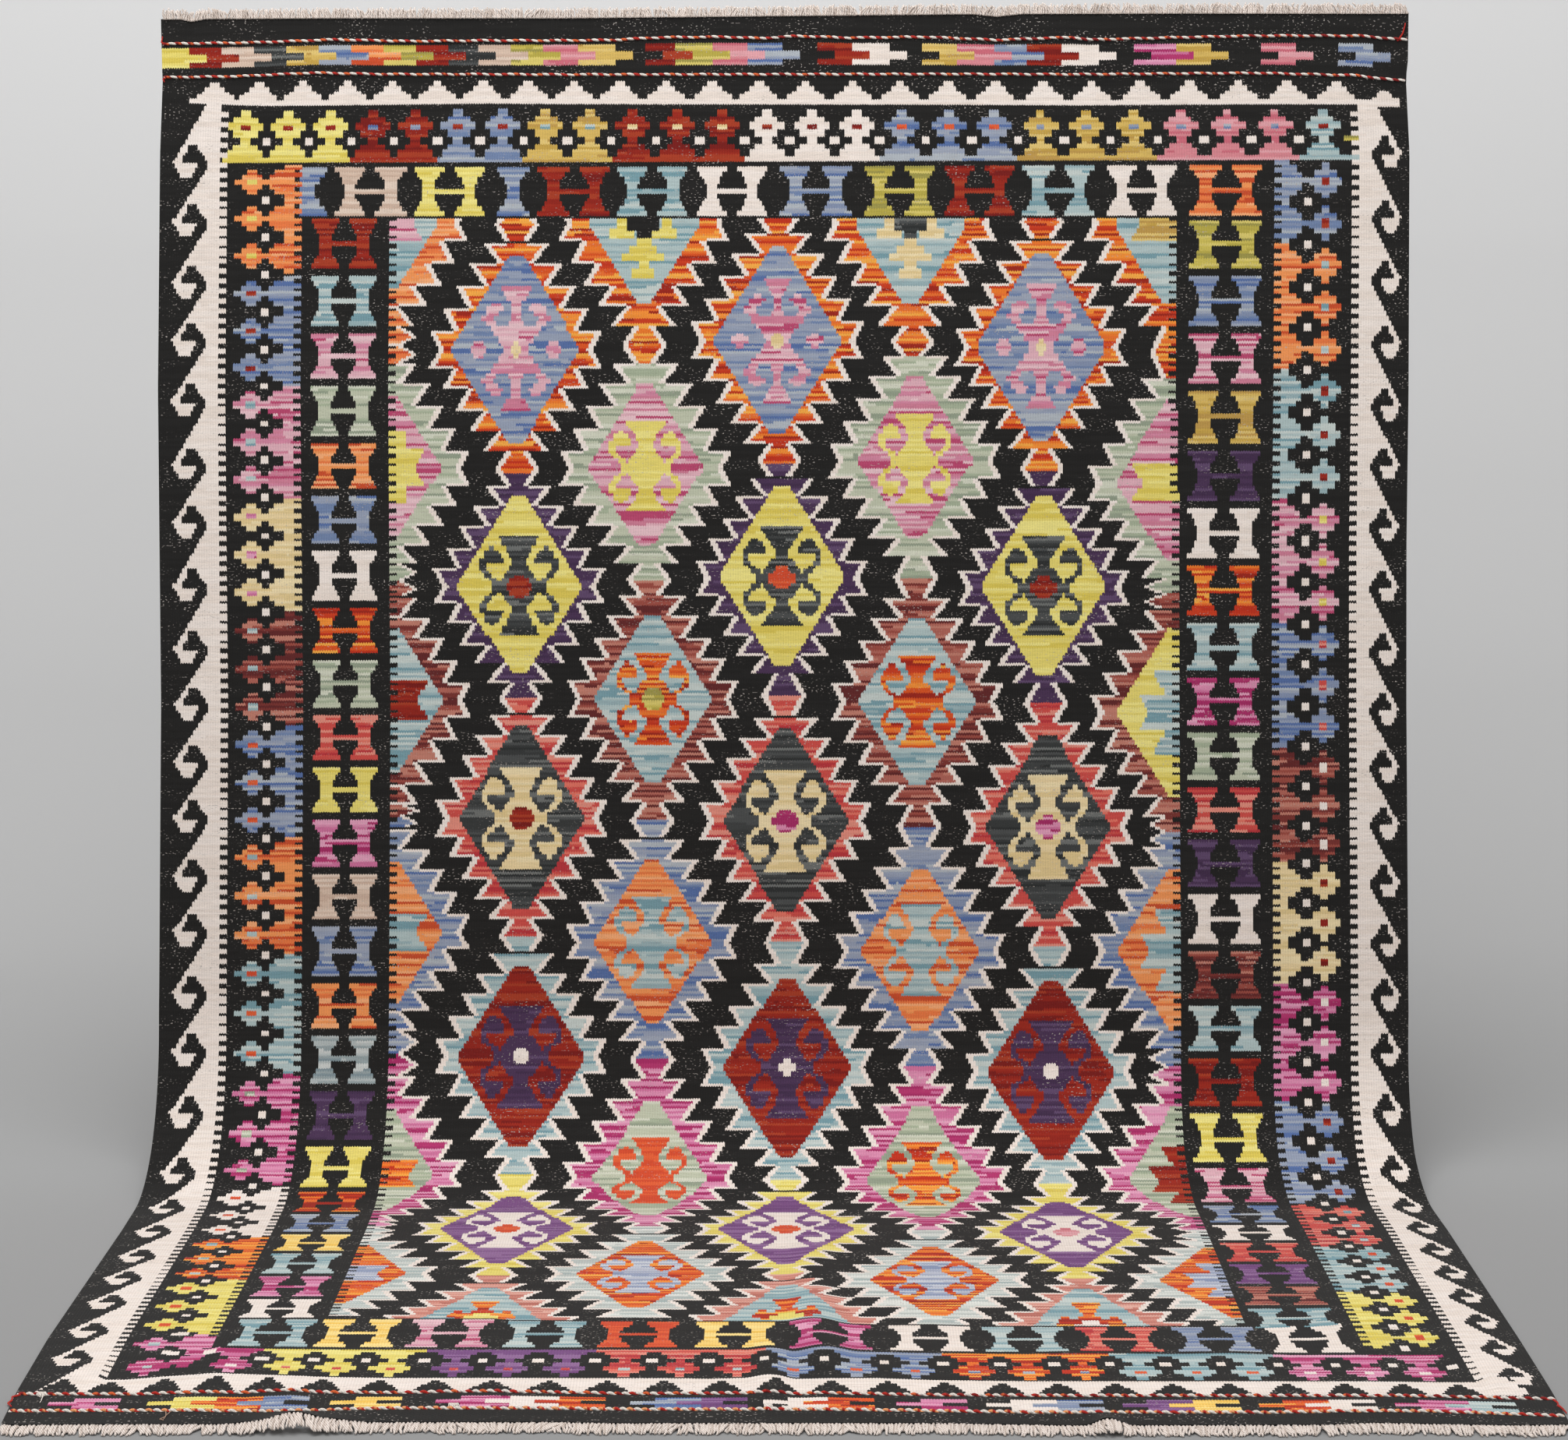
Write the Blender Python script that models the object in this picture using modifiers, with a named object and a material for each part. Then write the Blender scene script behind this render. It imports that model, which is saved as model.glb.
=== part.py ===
"""A large flat-woven kilim, hanging from its top edge with its lower part running over the floor.

Run with: blender --background --python part.py
Units are metres, +Z is up, and the rug's face looks along -Y. The floor is z = 0.
"""

import math

import bpy
import numpy as np

# Cloth, as woven
HALF_WIDTH = 1.25
CLOTH_LENGTH = 3.432
CLOTH_THICKNESS = 0.003

# The line it hangs in: straight and leaning back, then a bend, then flat on the floor
HANG_LEAN = math.radians(5.0)
HANG_LENGTH = 1.915
BEND_LENGTH = 0.536
BEND_EASE = 1.7
FRONT_SHIFT = 0.7324  # puts the middle of the rug's depth at y = 0

# Fringe: the warp ends, knotted at the cloth's edge
FRINGE_GAP = 0.0003
STRIP_DEPTH = 0.006
STRIP_THICKNESS = 0.005
LOCKS_A_SIDE = 150
LOCK_SHARE = 0.62  # of each lock's pitch, the rest is the gap to the next one
TOP_LOCK_LENGTH = 0.019
FRONT_LOCK_LENGTH = 0.028
LOCK_UNEVENNESS = 0.18  # share of its length by which a lock may be shorter
LOCK_SLANT = 0.005
LOCK_TIP_SCALE = 0.72
LOCK_TIP_HEIGHTS = (0.8, 1.2)  # least and most, of the strip's thickness
DROOP_SHARE = 0.75  # of the cloth's lift, by which a lock's tip falls back to the floor

# The left and right edge, by distance from the top edge
EDGES = (
    # along, left, right
    (0.00, -1.244, 1.247),
    (0.10, -1.242, 1.246),
    (0.12, -1.241, 1.242),
    (0.27, -1.247, 1.250),
    (0.74, -1.253, 1.250),
    (1.05, -1.251, 1.247),
    (1.37, -1.249, 1.248),
    (1.99, -1.256, 1.255),
    (2.28, -1.252, 1.247),
    (2.56, -1.249, 1.252),
    (3.09, -1.254, 1.251),
    (CLOTH_LENGTH, -1.252, 1.243),
)

# How far the top edge is below its mean height, by distance from the middle
TOP_EDGE_DROP = (
    # across, drop
    (-1.25, 0.006),
    (-0.90, 0.004),
    (-0.45, 0.004),
    (0.35, -0.004),
    (0.80, -0.006),
    (1.25, -0.006),
)
TOP_EDGE_FADE = 0.55

# Folds of the floor part: each lifts the cloth over a width, and runs back from the front edge
FOLDS = (
    # across, half width, rise, run back
    (-0.765, 0.135, 0.012, 0.055),
    (-0.775, 0.050, 0.008, 0.050),
    (0.512, 0.040, 0.012, 0.045),
)
FOLD_FALL = 1.5  # how steeply a fold dies away from the front edge

# Slow ripples of the hanging part
RIPPLES = (
    # waves across, phase, depth
    (2.0, 0.4, 0.0030),
    (5.0, 1.9, 0.0018),
)
RIPPLE_START = 0.0
RIPPLE_END = 2.3
RIPPLE_DRIFT = 0.6  # phase gained for each metre along

# Where the sheet's grid is close together
COLUMN_ZONES = (
    # from side, to side, columns
    (-1.00, -0.72, 5),
    (-0.72, -0.50, 11),
    (-0.50, 0.375, 14),
    (0.375, 0.445, 7),
    (0.445, 1.00, 7),
)
ROW_ZONES = (
    # from along, to along, rows
    (0.00, 1.90, 13),
    (1.90, HANG_LENGTH + BEND_LENGTH, 13),
    (HANG_LENGTH + BEND_LENGTH, 3.24, 7),
    (3.24, 3.372, 3),
    (3.372, CLOTH_LENGTH, 6),
)

CLOTH_COLOUR = (0.016, 0.015, 0.016, 1.0)
CLOTH_ROUGHNESS = 0.95
FRINGE_COLOUR = (0.56, 0.50, 0.46, 1.0)
FRINGE_ROUGHNESS = 0.9


def clear_scene():
    """Remove everything the file opened with."""
    for obj in list(bpy.data.objects):
        bpy.data.objects.remove(obj, do_unlink=True)


def new_material(name, colour, roughness):
    """Make a plain woollen material."""
    material = bpy.data.materials.new(name)
    material.use_nodes = True
    shader = material.node_tree.nodes["Principled BSDF"]
    shader.inputs["Base Color"].default_value = colour
    shader.inputs["Roughness"].default_value = roughness
    shader.inputs["Metallic"].default_value = 0.0
    material.diffuse_color = colour
    return material


def hanging_line(steps=4000):
    """Return distance along the cloth, and the forward run, height and slope there."""
    along = np.linspace(0.0, CLOTH_LENGTH, steps)
    bend = np.clip((along - HANG_LENGTH) / BEND_LENGTH, 0.0, 1.0)
    slope = HANG_LEAN + (math.pi / 2 - HANG_LEAN) * bend**BEND_EASE
    step = np.diff(along)
    middle = (slope[1:] + slope[:-1]) / 2
    forward = np.concatenate([[0.0], np.cumsum(np.sin(middle) * step)])
    fallen = np.concatenate([[0.0], np.cumsum(np.cos(middle) * step)])
    return along, forward, fallen[-1] - fallen, slope


LINE = hanging_line()


def bump(distance, half_width):
    """A smooth hump, 1 in the middle and 0 at the half width."""
    share = np.clip(np.abs(distance) / half_width, 0.0, 1.0)
    return (1.0 + np.cos(math.pi * share)) / 2


def edge_at(along, column):
    """The cloth's left (1) or right (2) edge at a distance from the top edge."""
    table = np.array(EDGES)
    return np.interp(along, table[:, 0], table[:, column])


def lift_at(x, along):
    """How far the folds raise the floor part."""
    lift = np.zeros_like(x)
    for across, half_width, rise, run_back in FOLDS:
        from_edge = np.clip((CLOTH_LENGTH - along) / run_back, 0.0, 1.0)
        lift += rise * bump(x - across, half_width) * (1.0 - from_edge) ** FOLD_FALL
    return lift


def ripple_at(x, along):
    """How far the hanging part swells forward."""
    swell = np.zeros_like(x)
    for waves, phase, depth in RIPPLES:
        swell += depth * np.sin(waves * math.pi * x / HALF_WIDTH + phase + RIPPLE_DRIFT * along)
    middle, half = (RIPPLE_START + RIPPLE_END) / 2, (RIPPLE_END - RIPPLE_START) / 2
    return swell * bump(along - middle, half)


def top_drop_at(x, along):
    """How far the cloth hangs lower than a straight top edge would let it."""
    table = np.array(TOP_EDGE_DROP)
    fade = np.clip(1.0 - along / TOP_EDGE_FADE, 0.0, 1.0) ** 2
    return np.interp(x, table[:, 0], table[:, 1]) * fade


def drape(side, along, above):
    """Place points of the cloth.

    side runs from -1 at the left edge to 1 at the right edge, along from the top edge to the
    front edge and a little past either, and above is the height over the cloth's back.
    """
    side, along, above = np.broadcast_arrays(side, along, above)
    inside = np.clip(along, 0.0, CLOTH_LENGTH)
    left, right = edge_at(inside, 1), edge_at(inside, 2)
    x = left + (right - left) * (side + 1.0) / 2
    place = inside + top_drop_at(x, inside)
    beyond = along - inside + np.minimum(place, 0.0)
    line, forward, height, slope = LINE
    turn = np.interp(place, line, slope)
    run = np.interp(place, line, forward) + np.sin(turn) * beyond + np.cos(turn) * above
    z = np.interp(place, line, height) - np.cos(turn) * beyond + np.sin(turn) * above
    run = run + ripple_at(x, inside)
    z = z + lift_at(x, inside)
    return np.stack([x, FRONT_SHIFT - run, z], axis=-1)


def zone_steps(zones):
    """The grid lines of a table of zones, each line once."""
    lines = [np.linspace(start, end, count, endpoint=False) for start, end, count in zones]
    return np.concatenate(lines + [[zones[-1][1]]])


def points_of(mesh):
    """A mesh's points as an array."""
    flat = np.empty(len(mesh.vertices) * 3)
    mesh.vertices.foreach_get("co", flat)
    return flat.reshape(-1, 3)


def add_grid(name, columns, rows):
    """Add a flat grid that runs from -1 to 1 both ways."""
    bpy.ops.mesh.primitive_grid_add(x_subdivisions=columns, y_subdivisions=rows, size=2.0)
    obj = bpy.context.active_object
    obj.name = obj.data.name = name
    return obj


def add_cloth():
    """The woven sheet: a grid laid on the hanging line, with its thickness from Solidify."""
    sides, rows = zone_steps(COLUMN_ZONES), zone_steps(ROW_ZONES)
    columns, steps = len(sides) - 1, len(rows) - 1
    obj = add_grid("kilim_cloth", columns, steps)
    flat = points_of(obj.data)
    column = np.rint((flat[:, 0] + 1.0) / 2 * columns).astype(int)
    row = np.rint((1.0 - flat[:, 1]) / 2 * steps).astype(int)
    obj.data.vertices.foreach_set("co", drape(sides[column], rows[row], 0.0).ravel())
    obj.data.update()
    solidify = obj.modifiers.new("Thickness", "SOLIDIFY")
    solidify.thickness = CLOTH_THICKNESS
    solidify.offset = 1.0
    solidify.use_even_offset = True
    obj.data.materials.append(new_material("kilim_wool", CLOTH_COLOUR, CLOTH_ROUGHNESS))
    return obj


def add_comb(name, slots):
    """Add a flat strip of equal slots, one unit thick, whose odd slots are drawn out on -y."""
    obj = add_grid(name, slots, 1)
    solidify = obj.modifiers.new("Thickness", "SOLIDIFY")
    solidify.thickness = 1.0
    solidify.offset = 1.0
    bpy.ops.object.modifier_apply(modifier=solidify.name)
    bpy.context.tool_settings.mesh_select_mode = (False, False, True)
    for part in (*obj.data.vertices, *obj.data.edges):
        part.select = False
    for face in obj.data.polygons:
        slot = int((face.center.x + 1.0) / 2 * slots)
        face.select = face.normal.y < -0.9 and slot % 2 == 1
    bpy.ops.object.mode_set(mode="EDIT")
    bpy.ops.mesh.extrude_faces_move(TRANSFORM_OT_shrink_fatten={"value": 1.0})
    bpy.ops.object.mode_set(mode="OBJECT")
    return obj


def slot_borders(slots):
    """The sides, from -1 to 1, where each slot starts: wide for a lock, narrow for a gap."""
    widths = np.where(np.arange(slots) % 2, LOCK_SHARE, 1.0 - LOCK_SHARE)
    borders = np.concatenate([[0.0], np.cumsum(widths)])
    return borders / borders[-1] * 2.0 - 1.0


def lock_leans(random):
    """How far each lock's tip stands to one side: neighbours lean much alike."""
    spread = 11
    drift = random.uniform(-1.0, 1.0, LOCKS_A_SIDE + spread - 1)
    drift = np.convolve(drift, np.ones(spread) / spread, "valid")
    return LOCK_SLANT * (3.0 * drift + random.uniform(-0.25, 0.25, LOCKS_A_SIDE))


def add_fringe(name, edge, outward, length, seed):
    """A knotted strip beside the cloth's edge, with a row of locks fused to it.

    edge is the distance along the cloth of its edge, and outward is -1 at the top edge and 1 at
    the front edge.
    """
    random = np.random.default_rng(seed)
    slots = 2 * LOCKS_A_SIDE + 1
    obj = add_comb(name, slots)
    flat = points_of(obj.data)
    borders = slot_borders(slots)
    lengths = length * (1.0 - LOCK_UNEVENNESS * random.random(LOCKS_A_SIDE))
    leans = lock_leans(random) / HALF_WIDTH
    tip_heights = STRIP_THICKNESS * random.uniform(*LOCK_TIP_HEIGHTS, LOCKS_A_SIDE)

    border = np.rint((flat[:, 0] + 1.0) / 2 * slots).astype(int)
    lock = np.clip((border - 1) // 2, 0, LOCKS_A_SIDE - 1)
    is_tip, is_inner, is_upper = flat[:, 1] < -1.5, flat[:, 1] > 0.0, flat[:, 2] > 0.5
    middle = (borders[2 * lock + 1] + borders[2 * lock + 2]) / 2
    tip_side = middle + (borders[border] - middle) * LOCK_TIP_SCALE + leans[lock]
    side = np.where(is_tip, tip_side, borders[border])
    strip_out = FRINGE_GAP + np.where(is_inner, 0.0, STRIP_DEPTH)
    out = np.where(is_tip, FRINGE_GAP + STRIP_DEPTH + lengths[lock], strip_out)
    above = np.where(is_upper, np.where(is_tip, tip_heights[lock], STRIP_THICKNESS), 0.0)
    placed = drape(side, edge + outward * out, above)
    lifted = lift_at(placed[:, 0], np.clip(edge + outward * out, 0.0, CLOTH_LENGTH))
    placed[:, 2] -= np.where(is_tip, DROOP_SHARE * lifted, 0.0)
    obj.data.vertices.foreach_set("co", placed.ravel())
    obj.data.update()

    bpy.ops.object.mode_set(mode="EDIT")
    bpy.ops.mesh.select_all(action="SELECT")
    bpy.ops.mesh.normals_make_consistent(inside=False)
    bpy.ops.object.mode_set(mode="OBJECT")
    obj.data.materials.append(new_material(name + "_yarn", FRINGE_COLOUR, FRINGE_ROUGHNESS))
    return obj


def main():
    """Build the rug's three pieces in their collection."""
    clear_scene()
    pieces = [
        add_cloth(),
        add_fringe("fringe_top", 0.0, -1.0, TOP_LOCK_LENGTH, seed=11),
        add_fringe("fringe_bottom", CLOTH_LENGTH, 1.0, FRONT_LOCK_LENGTH, seed=12),
    ]
    collection = bpy.data.collections.new("kilim_rug")
    bpy.context.scene.collection.children.link(collection)
    for piece in pieces:
        for old in list(piece.users_collection):
            old.objects.unlink(piece)
        collection.objects.link(piece)


main()
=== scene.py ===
"""Looks of a kilim rug that hangs from its top edge and runs out over the floor.

The cloth is woven cell by cell.  A chart holds the yarn of every warp column and weft
row, each band of the pattern weaves itself into that chart, and the cloth carries the
chart as face colours.  Sizes are metres, except in the chart, where one cell is one
warp column wide and one weft row high, counted from the rug's top left corner.
"""

import logging
import math
from dataclasses import dataclass, field, replace
from enum import Enum
from typing import Sequence

import bpy
import numpy as np
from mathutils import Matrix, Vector

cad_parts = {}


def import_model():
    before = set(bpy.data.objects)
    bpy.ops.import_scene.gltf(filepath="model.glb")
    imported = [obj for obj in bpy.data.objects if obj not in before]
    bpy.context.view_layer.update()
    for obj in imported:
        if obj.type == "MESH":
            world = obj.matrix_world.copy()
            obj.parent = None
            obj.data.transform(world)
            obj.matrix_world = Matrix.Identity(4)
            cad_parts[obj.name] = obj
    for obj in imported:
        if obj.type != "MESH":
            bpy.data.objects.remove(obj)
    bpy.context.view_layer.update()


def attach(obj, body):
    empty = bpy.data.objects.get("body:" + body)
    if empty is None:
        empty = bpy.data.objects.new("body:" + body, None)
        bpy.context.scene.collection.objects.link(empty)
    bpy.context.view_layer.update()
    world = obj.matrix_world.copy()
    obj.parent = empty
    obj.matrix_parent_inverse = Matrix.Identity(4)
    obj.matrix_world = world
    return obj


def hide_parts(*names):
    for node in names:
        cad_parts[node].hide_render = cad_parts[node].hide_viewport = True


LOG = logging.getLogger("kilim_rug")
BODY = "root"
CLOTH_NODE = "kilim_cloth"
# The chart's size in cells, and the side of a cell in metres.
COLUMNS = 500
ROWS = 684
CELL = 0.005

Colour = tuple[float, float, float, float]
Span = tuple[float, float, float, float]


# ---------------------------------------------------------------------------
# How the cloth hangs
# ---------------------------------------------------------------------------


@dataclass(frozen=True)
class Fold:
    """A fold that lifts the cloth off the floor at its front edge.

    Attributes:
        across: Place of its middle across the rug.
        half_width: From its middle to its foot.
        rise: Height at the front edge.
        run_back: How far it runs back from the front edge.
    """

    across: float
    half_width: float
    rise: float
    run_back: float


@dataclass(frozen=True)
class Ridge:
    """A low ridge of the cloth where it lies on the floor.

    Attributes:
        half_width: From its crest to its foot.
        run: Its crest from back to front: (along, across, rise).
    """

    half_width: float
    run: Sequence[tuple[float, float, float]]


@dataclass(frozen=True)
class Ripple:
    """A shallow wave of the hanging part, in half waves over half the width."""

    waves: float
    phase: float
    depth: float


@dataclass
class Drape:
    """The shape in which the rug hangs, bends and runs out over the floor."""

    length: float = 3.432
    half_width: float = 1.25
    thickness: float = 0.003
    hang_lean: float = math.radians(5.0)
    hang_length: float = 1.915
    bend_length: float = 0.536
    bend_ease: float = 1.7
    front_shift: float = 0.7324
    # Each side edge, from the top edge down: (along, left, right).
    edges: Sequence[tuple[float, float, float]] = (
        (0.00, -1.244, 1.247), (0.10, -1.242, 1.246), (0.12, -1.241, 1.242), (0.27, -1.247, 1.250),
        (0.74, -1.253, 1.250), (1.05, -1.251, 1.247), (1.37, -1.249, 1.248), (1.99, -1.256, 1.255),
        (2.28, -1.252, 1.247), (2.56, -1.249, 1.252), (3.09, -1.253, 1.251), (3.30, -1.247, 1.248),
        (3.432, -1.238, 1.243),
    )
    # How far the top edge sags: (across, drop).
    top_drop: Sequence[tuple[float, float]] = (
        (-1.25, 0.006), (-0.90, 0.004), (-0.45, 0.004), (0.35, -0.004), (0.80, -0.006), (1.25, -0.006),
    )
    top_drop_fade: float = 0.55
    folds: Sequence[Fold] = (
        Fold(-0.765, 0.135, 0.012, 0.055), Fold(-0.775, 0.050, 0.008, 0.050), Fold(0.512, 0.040, 0.012, 0.045),
    )
    fold_fall: float = 1.5
    ridges: Sequence[Ridge] = (
        Ridge(
            0.046,
            (
                (3.03, -0.020, 0.0), (3.12, -0.022, 0.005), (3.26, -0.024, 0.006), (3.33, -0.024, 0.003),
                (3.40, -0.024, 0.0),
            ),
        ),
        Ridge(
            0.062,
            ((2.50, 0.056, 0.0), (2.70, 0.056, 0.005), (3.00, 0.053, 0.009), (3.15, 0.070, 0.009), (3.25, 0.072, 0.0)),
        ),
    )
    ripples: Sequence[Ripple] = (Ripple(2.0, 0.4, 0.0030), Ripple(5.0, 1.9, 0.0018))
    ripple_end: float = 2.3
    ripple_drift: float = 0.6
    line_steps: int = 4000
    line: tuple[np.ndarray, ...] = field(init=False)

    def __post_init__(self) -> None:
        """Work out the line that the middle of the cloth follows."""
        along = np.linspace(0.0, self.length, self.line_steps)
        bend = np.clip((along - self.hang_length) / self.bend_length, 0.0, 1.0)
        slope = self.hang_lean + (math.pi / 2 - self.hang_lean) * bend**self.bend_ease
        step, middle = np.diff(along), (slope[1:] + slope[:-1]) / 2
        forward = np.concatenate([[0.0], np.cumsum(np.sin(middle) * step)])
        fallen = np.concatenate([[0.0], np.cumsum(np.cos(middle) * step)])
        self.line = (along, forward, fallen[-1] - fallen, slope)

    @staticmethod
    def bump(distance: np.ndarray, half_width: float) -> np.ndarray:
        """Return a smooth hump, 1 at no distance and 0 from half_width on."""
        share = np.clip(np.abs(distance) / half_width, 0.0, 1.0)
        return (1.0 + np.cos(math.pi * share)) / 2

    def lift(self, x: np.ndarray, along: np.ndarray) -> np.ndarray:
        """Return how far the folds and ridges lift the cloth at some places, in metres."""
        height = np.zeros_like(x)
        for fold in self.folds:
            back = np.clip((self.length - along) / fold.run_back, 0.0, 1.0)
            height += fold.rise * self.bump(x - fold.across, fold.half_width) * (1 - back) ** self.fold_fall
        for ridge in self.ridges:
            places, across, rises = np.array(ridge.run).T
            middle = np.interp(along, places, across)
            height += np.interp(along, places, rises) * self.bump(x - middle, ridge.half_width)
        return height

    def ripple(self, x: np.ndarray, along: np.ndarray) -> np.ndarray:
        """Return how far the ripples push the cloth forward or back, in metres."""
        wave = sum(
            r.depth * np.sin(r.waves * math.pi * x / self.half_width + r.phase + self.ripple_drift * along)
            for r in self.ripples
        )
        return wave * self.bump(along - self.ripple_end / 2, self.ripple_end / 2)

    def place(self, side: np.ndarray, along: np.ndarray, above: np.ndarray) -> np.ndarray:
        """Return where points of the flat cloth come to lie.

        Args:
            side: Across the rug, -1 at its left edge and 1 at its right edge.
            along: Metres from the top edge, beyond 0 or the length for the fringes.
            above: Metres in front of the cloth's back.

        Returns:
            An array of points, in metres.
        """
        side, along, above = np.broadcast_arrays(side, along, above)
        inside = np.clip(along, 0.0, self.length)
        table = np.array(self.edges)
        left = np.interp(inside, table[:, 0], table[:, 1])
        right = np.interp(inside, table[:, 0], table[:, 2])
        x = left + (right - left) * (side + 1.0) / 2
        drops = np.array(self.top_drop)
        fade = np.clip(1.0 - inside / self.top_drop_fade, 0.0, 1.0) ** 2
        where = inside + np.interp(x, drops[:, 0], drops[:, 1]) * fade
        beyond = along - inside + np.minimum(where, 0.0)
        line, forward, height, slope = self.line
        turn = np.interp(where, line, slope)
        run = np.interp(where, line, forward) + np.sin(turn) * beyond + np.cos(turn) * above
        z = np.interp(where, line, height) - np.cos(turn) * beyond + np.sin(turn) * above
        run = run + self.ripple(x, inside)
        return np.stack([x, self.front_shift - run, z + self.lift(x, inside)], axis=-1)


# ---------------------------------------------------------------------------
# Yarns and the chart
# ---------------------------------------------------------------------------


class Yarn(Enum):
    """The dyed yarns, each with the tones that its streaks take, as a screen shows them."""

    BLACK = "1f1e1d 1c1b1a"
    CREAM = "e4d8cf e0d3c9 e6dbd3"
    RED = "8a2116 731814 932618 a03921"
    ORANGE = "e69054 de7440 c04a28 eaa472 e69054"
    RUST = "d65a32 c8482a"
    FLAME = "dc6a2c c03a1c e88a34 962416 d0501e b83018 e07428 eaa244"
    YELLOW = "dccc6c d2be54 e4d882 dccc6c"
    GOLD = "ecc870 e6ba54 f0d488"
    MUSTARD = "ccac5c bc9a48 d6ba70 b4904a"
    STRAW = "dec89a d6be8a e2d0a6"
    BLUE = "969dac 7e8aa4 52699a a7adb4 8e97aa 6c7ea0"
    SKY = "a7b8b8 90a7ab 72959e bcc5c1 a7b8b8"
    PINK = "d4a6b0 c88098 b04468 dcb8be d4a6b0 c4788e"
    ROSE = "cc8088 c06472 d69aa0"
    MAGENTA = "c46c94 ac3468 d89ab4 a02a60 d086a6"
    PURPLE = "46304e 3e2a46 5a4464 46304e"
    GREEN = "b6baa4 9ea890 c8cab8 8c9682 b6baa4"
    OLIVE = "c2b254 aea046 cebe68 968e48"
    BEIGE = "ccb4a2 c2a896 d6c2b2"
    MAROON = "94483e 74302c b87868 5e2424 a86054"
    CORAL = "c44a44 b03238 d66e5e c44a44 d88878"
    SLATE = "a8b0b0 8c989a bcc0be 78888e"
    MIST = "c6cac4 b2b8b4 d4d6d0 a2aeac"
    IRON = "343636 3c3e3e 2a2c2c 686a68 484a4a"
    VIOLET = "744a7c 6a4072 8a6490"
    TEAL = "b0b4c2 98a0b6 c2c6ce 8490ac"
    SALMON = "cc8c7e c07a6c d8a496 b06a5e"

    @property
    def number(self) -> int:
        """Its number in the chart."""
        return list(Yarn).index(self)

    def tones(self) -> np.ndarray:
        """Return its tones, a row of linear red, green and blue for each."""
        shown = np.array([[int(tone[at : at + 2], 16) for at in (0, 2, 4)] for tone in self.value.split()]) / 255.0
        return np.where(shown <= 0.04045, shown / 12.92, ((shown + 0.055) / 1.055) ** 2.4)


def listed(text: str) -> list[tuple]:
    """Return the entries of a list such as "RED 80.4, SKY 102.9", with the yarns for their names."""

    def read_word(word: str) -> "Yarn | float":
        """Return a yarn for a name, and a number for anything else."""
        if word.isalpha():
            return Yarn[word]
        return int(word) if word.isdigit() else float(word)

    return [tuple(read_word(word) for word in entry.split()) for entry in text.split(",")]


@dataclass
class Chart:
    """The yarn of every cell of the rug."""

    streak_columns: int = 26
    streak_share: float = 0.55
    thick_streaks: float = 0.2
    seed: int = 3
    cells: np.ndarray = field(init=False)

    def __post_init__(self) -> None:
        """Start with a black ground."""
        self.cells = np.full((ROWS, COLUMNS), Yarn.BLACK.number)

    def fill(self, yarn: Yarn, top: float, bottom: float, left: float, right: float) -> None:
        """Weave a rectangle between two rows and two columns."""
        first_row, last_row, first, last = (max(0, math.ceil(v - 0.5)) for v in (top, bottom, left, right))
        self.cells[first_row:last_row, first:last] = yarn.number

    def weave(
        self, spans: Sequence[Span], row: float, column: float, yarn: Yarn, flip: bool = False, mirror: bool = False
    ) -> None:
        """Weave a motif of rectangles.

        Args:
            spans: For each rectangle its top, bottom, left and right from the centre.
            row: Row of the motif's centre.
            column: Column of the motif's centre.
            yarn: Its yarn.
            flip: Whether it stands upside down.
            mirror: Whether left and right change places.
        """
        for top, bottom, left, right in spans:
            if flip:
                top, bottom = -bottom, -top
            if mirror:
                left, right = -right, -left
            self.fill(yarn, row + top, row + bottom, column + left, column + right)

    def dyed(self) -> np.ndarray:
        """Return the linear colour of every cell, with the yarns' tones in streaks along the weft.

        Returns:
            An array of rows, columns and red, green and blue.
        """
        rng = np.random.default_rng(self.seed)
        level = 0.0
        streaks = np.empty((ROWS, COLUMNS))
        for row in range(ROWS):
            if rng.random() > self.thick_streaks:
                level = rng.random()
            stops = np.sort(rng.choice(COLUMNS, COLUMNS // self.streak_columns, replace=False))
            runs = rng.random(len(stops) + 1)
            streaks[row] = level + self.streak_share * runs[np.searchsorted(stops, np.arange(COLUMNS))]
        colours = np.empty((ROWS, COLUMNS, 3))
        for yarn in Yarn:
            tones, here = yarn.tones(), self.cells == yarn.number
            pick = (streaks[here] + 0.37 * yarn.number) % 1.0 * len(tones)
            colours[here] = tones[pick.astype(int)]
        return colours


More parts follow.
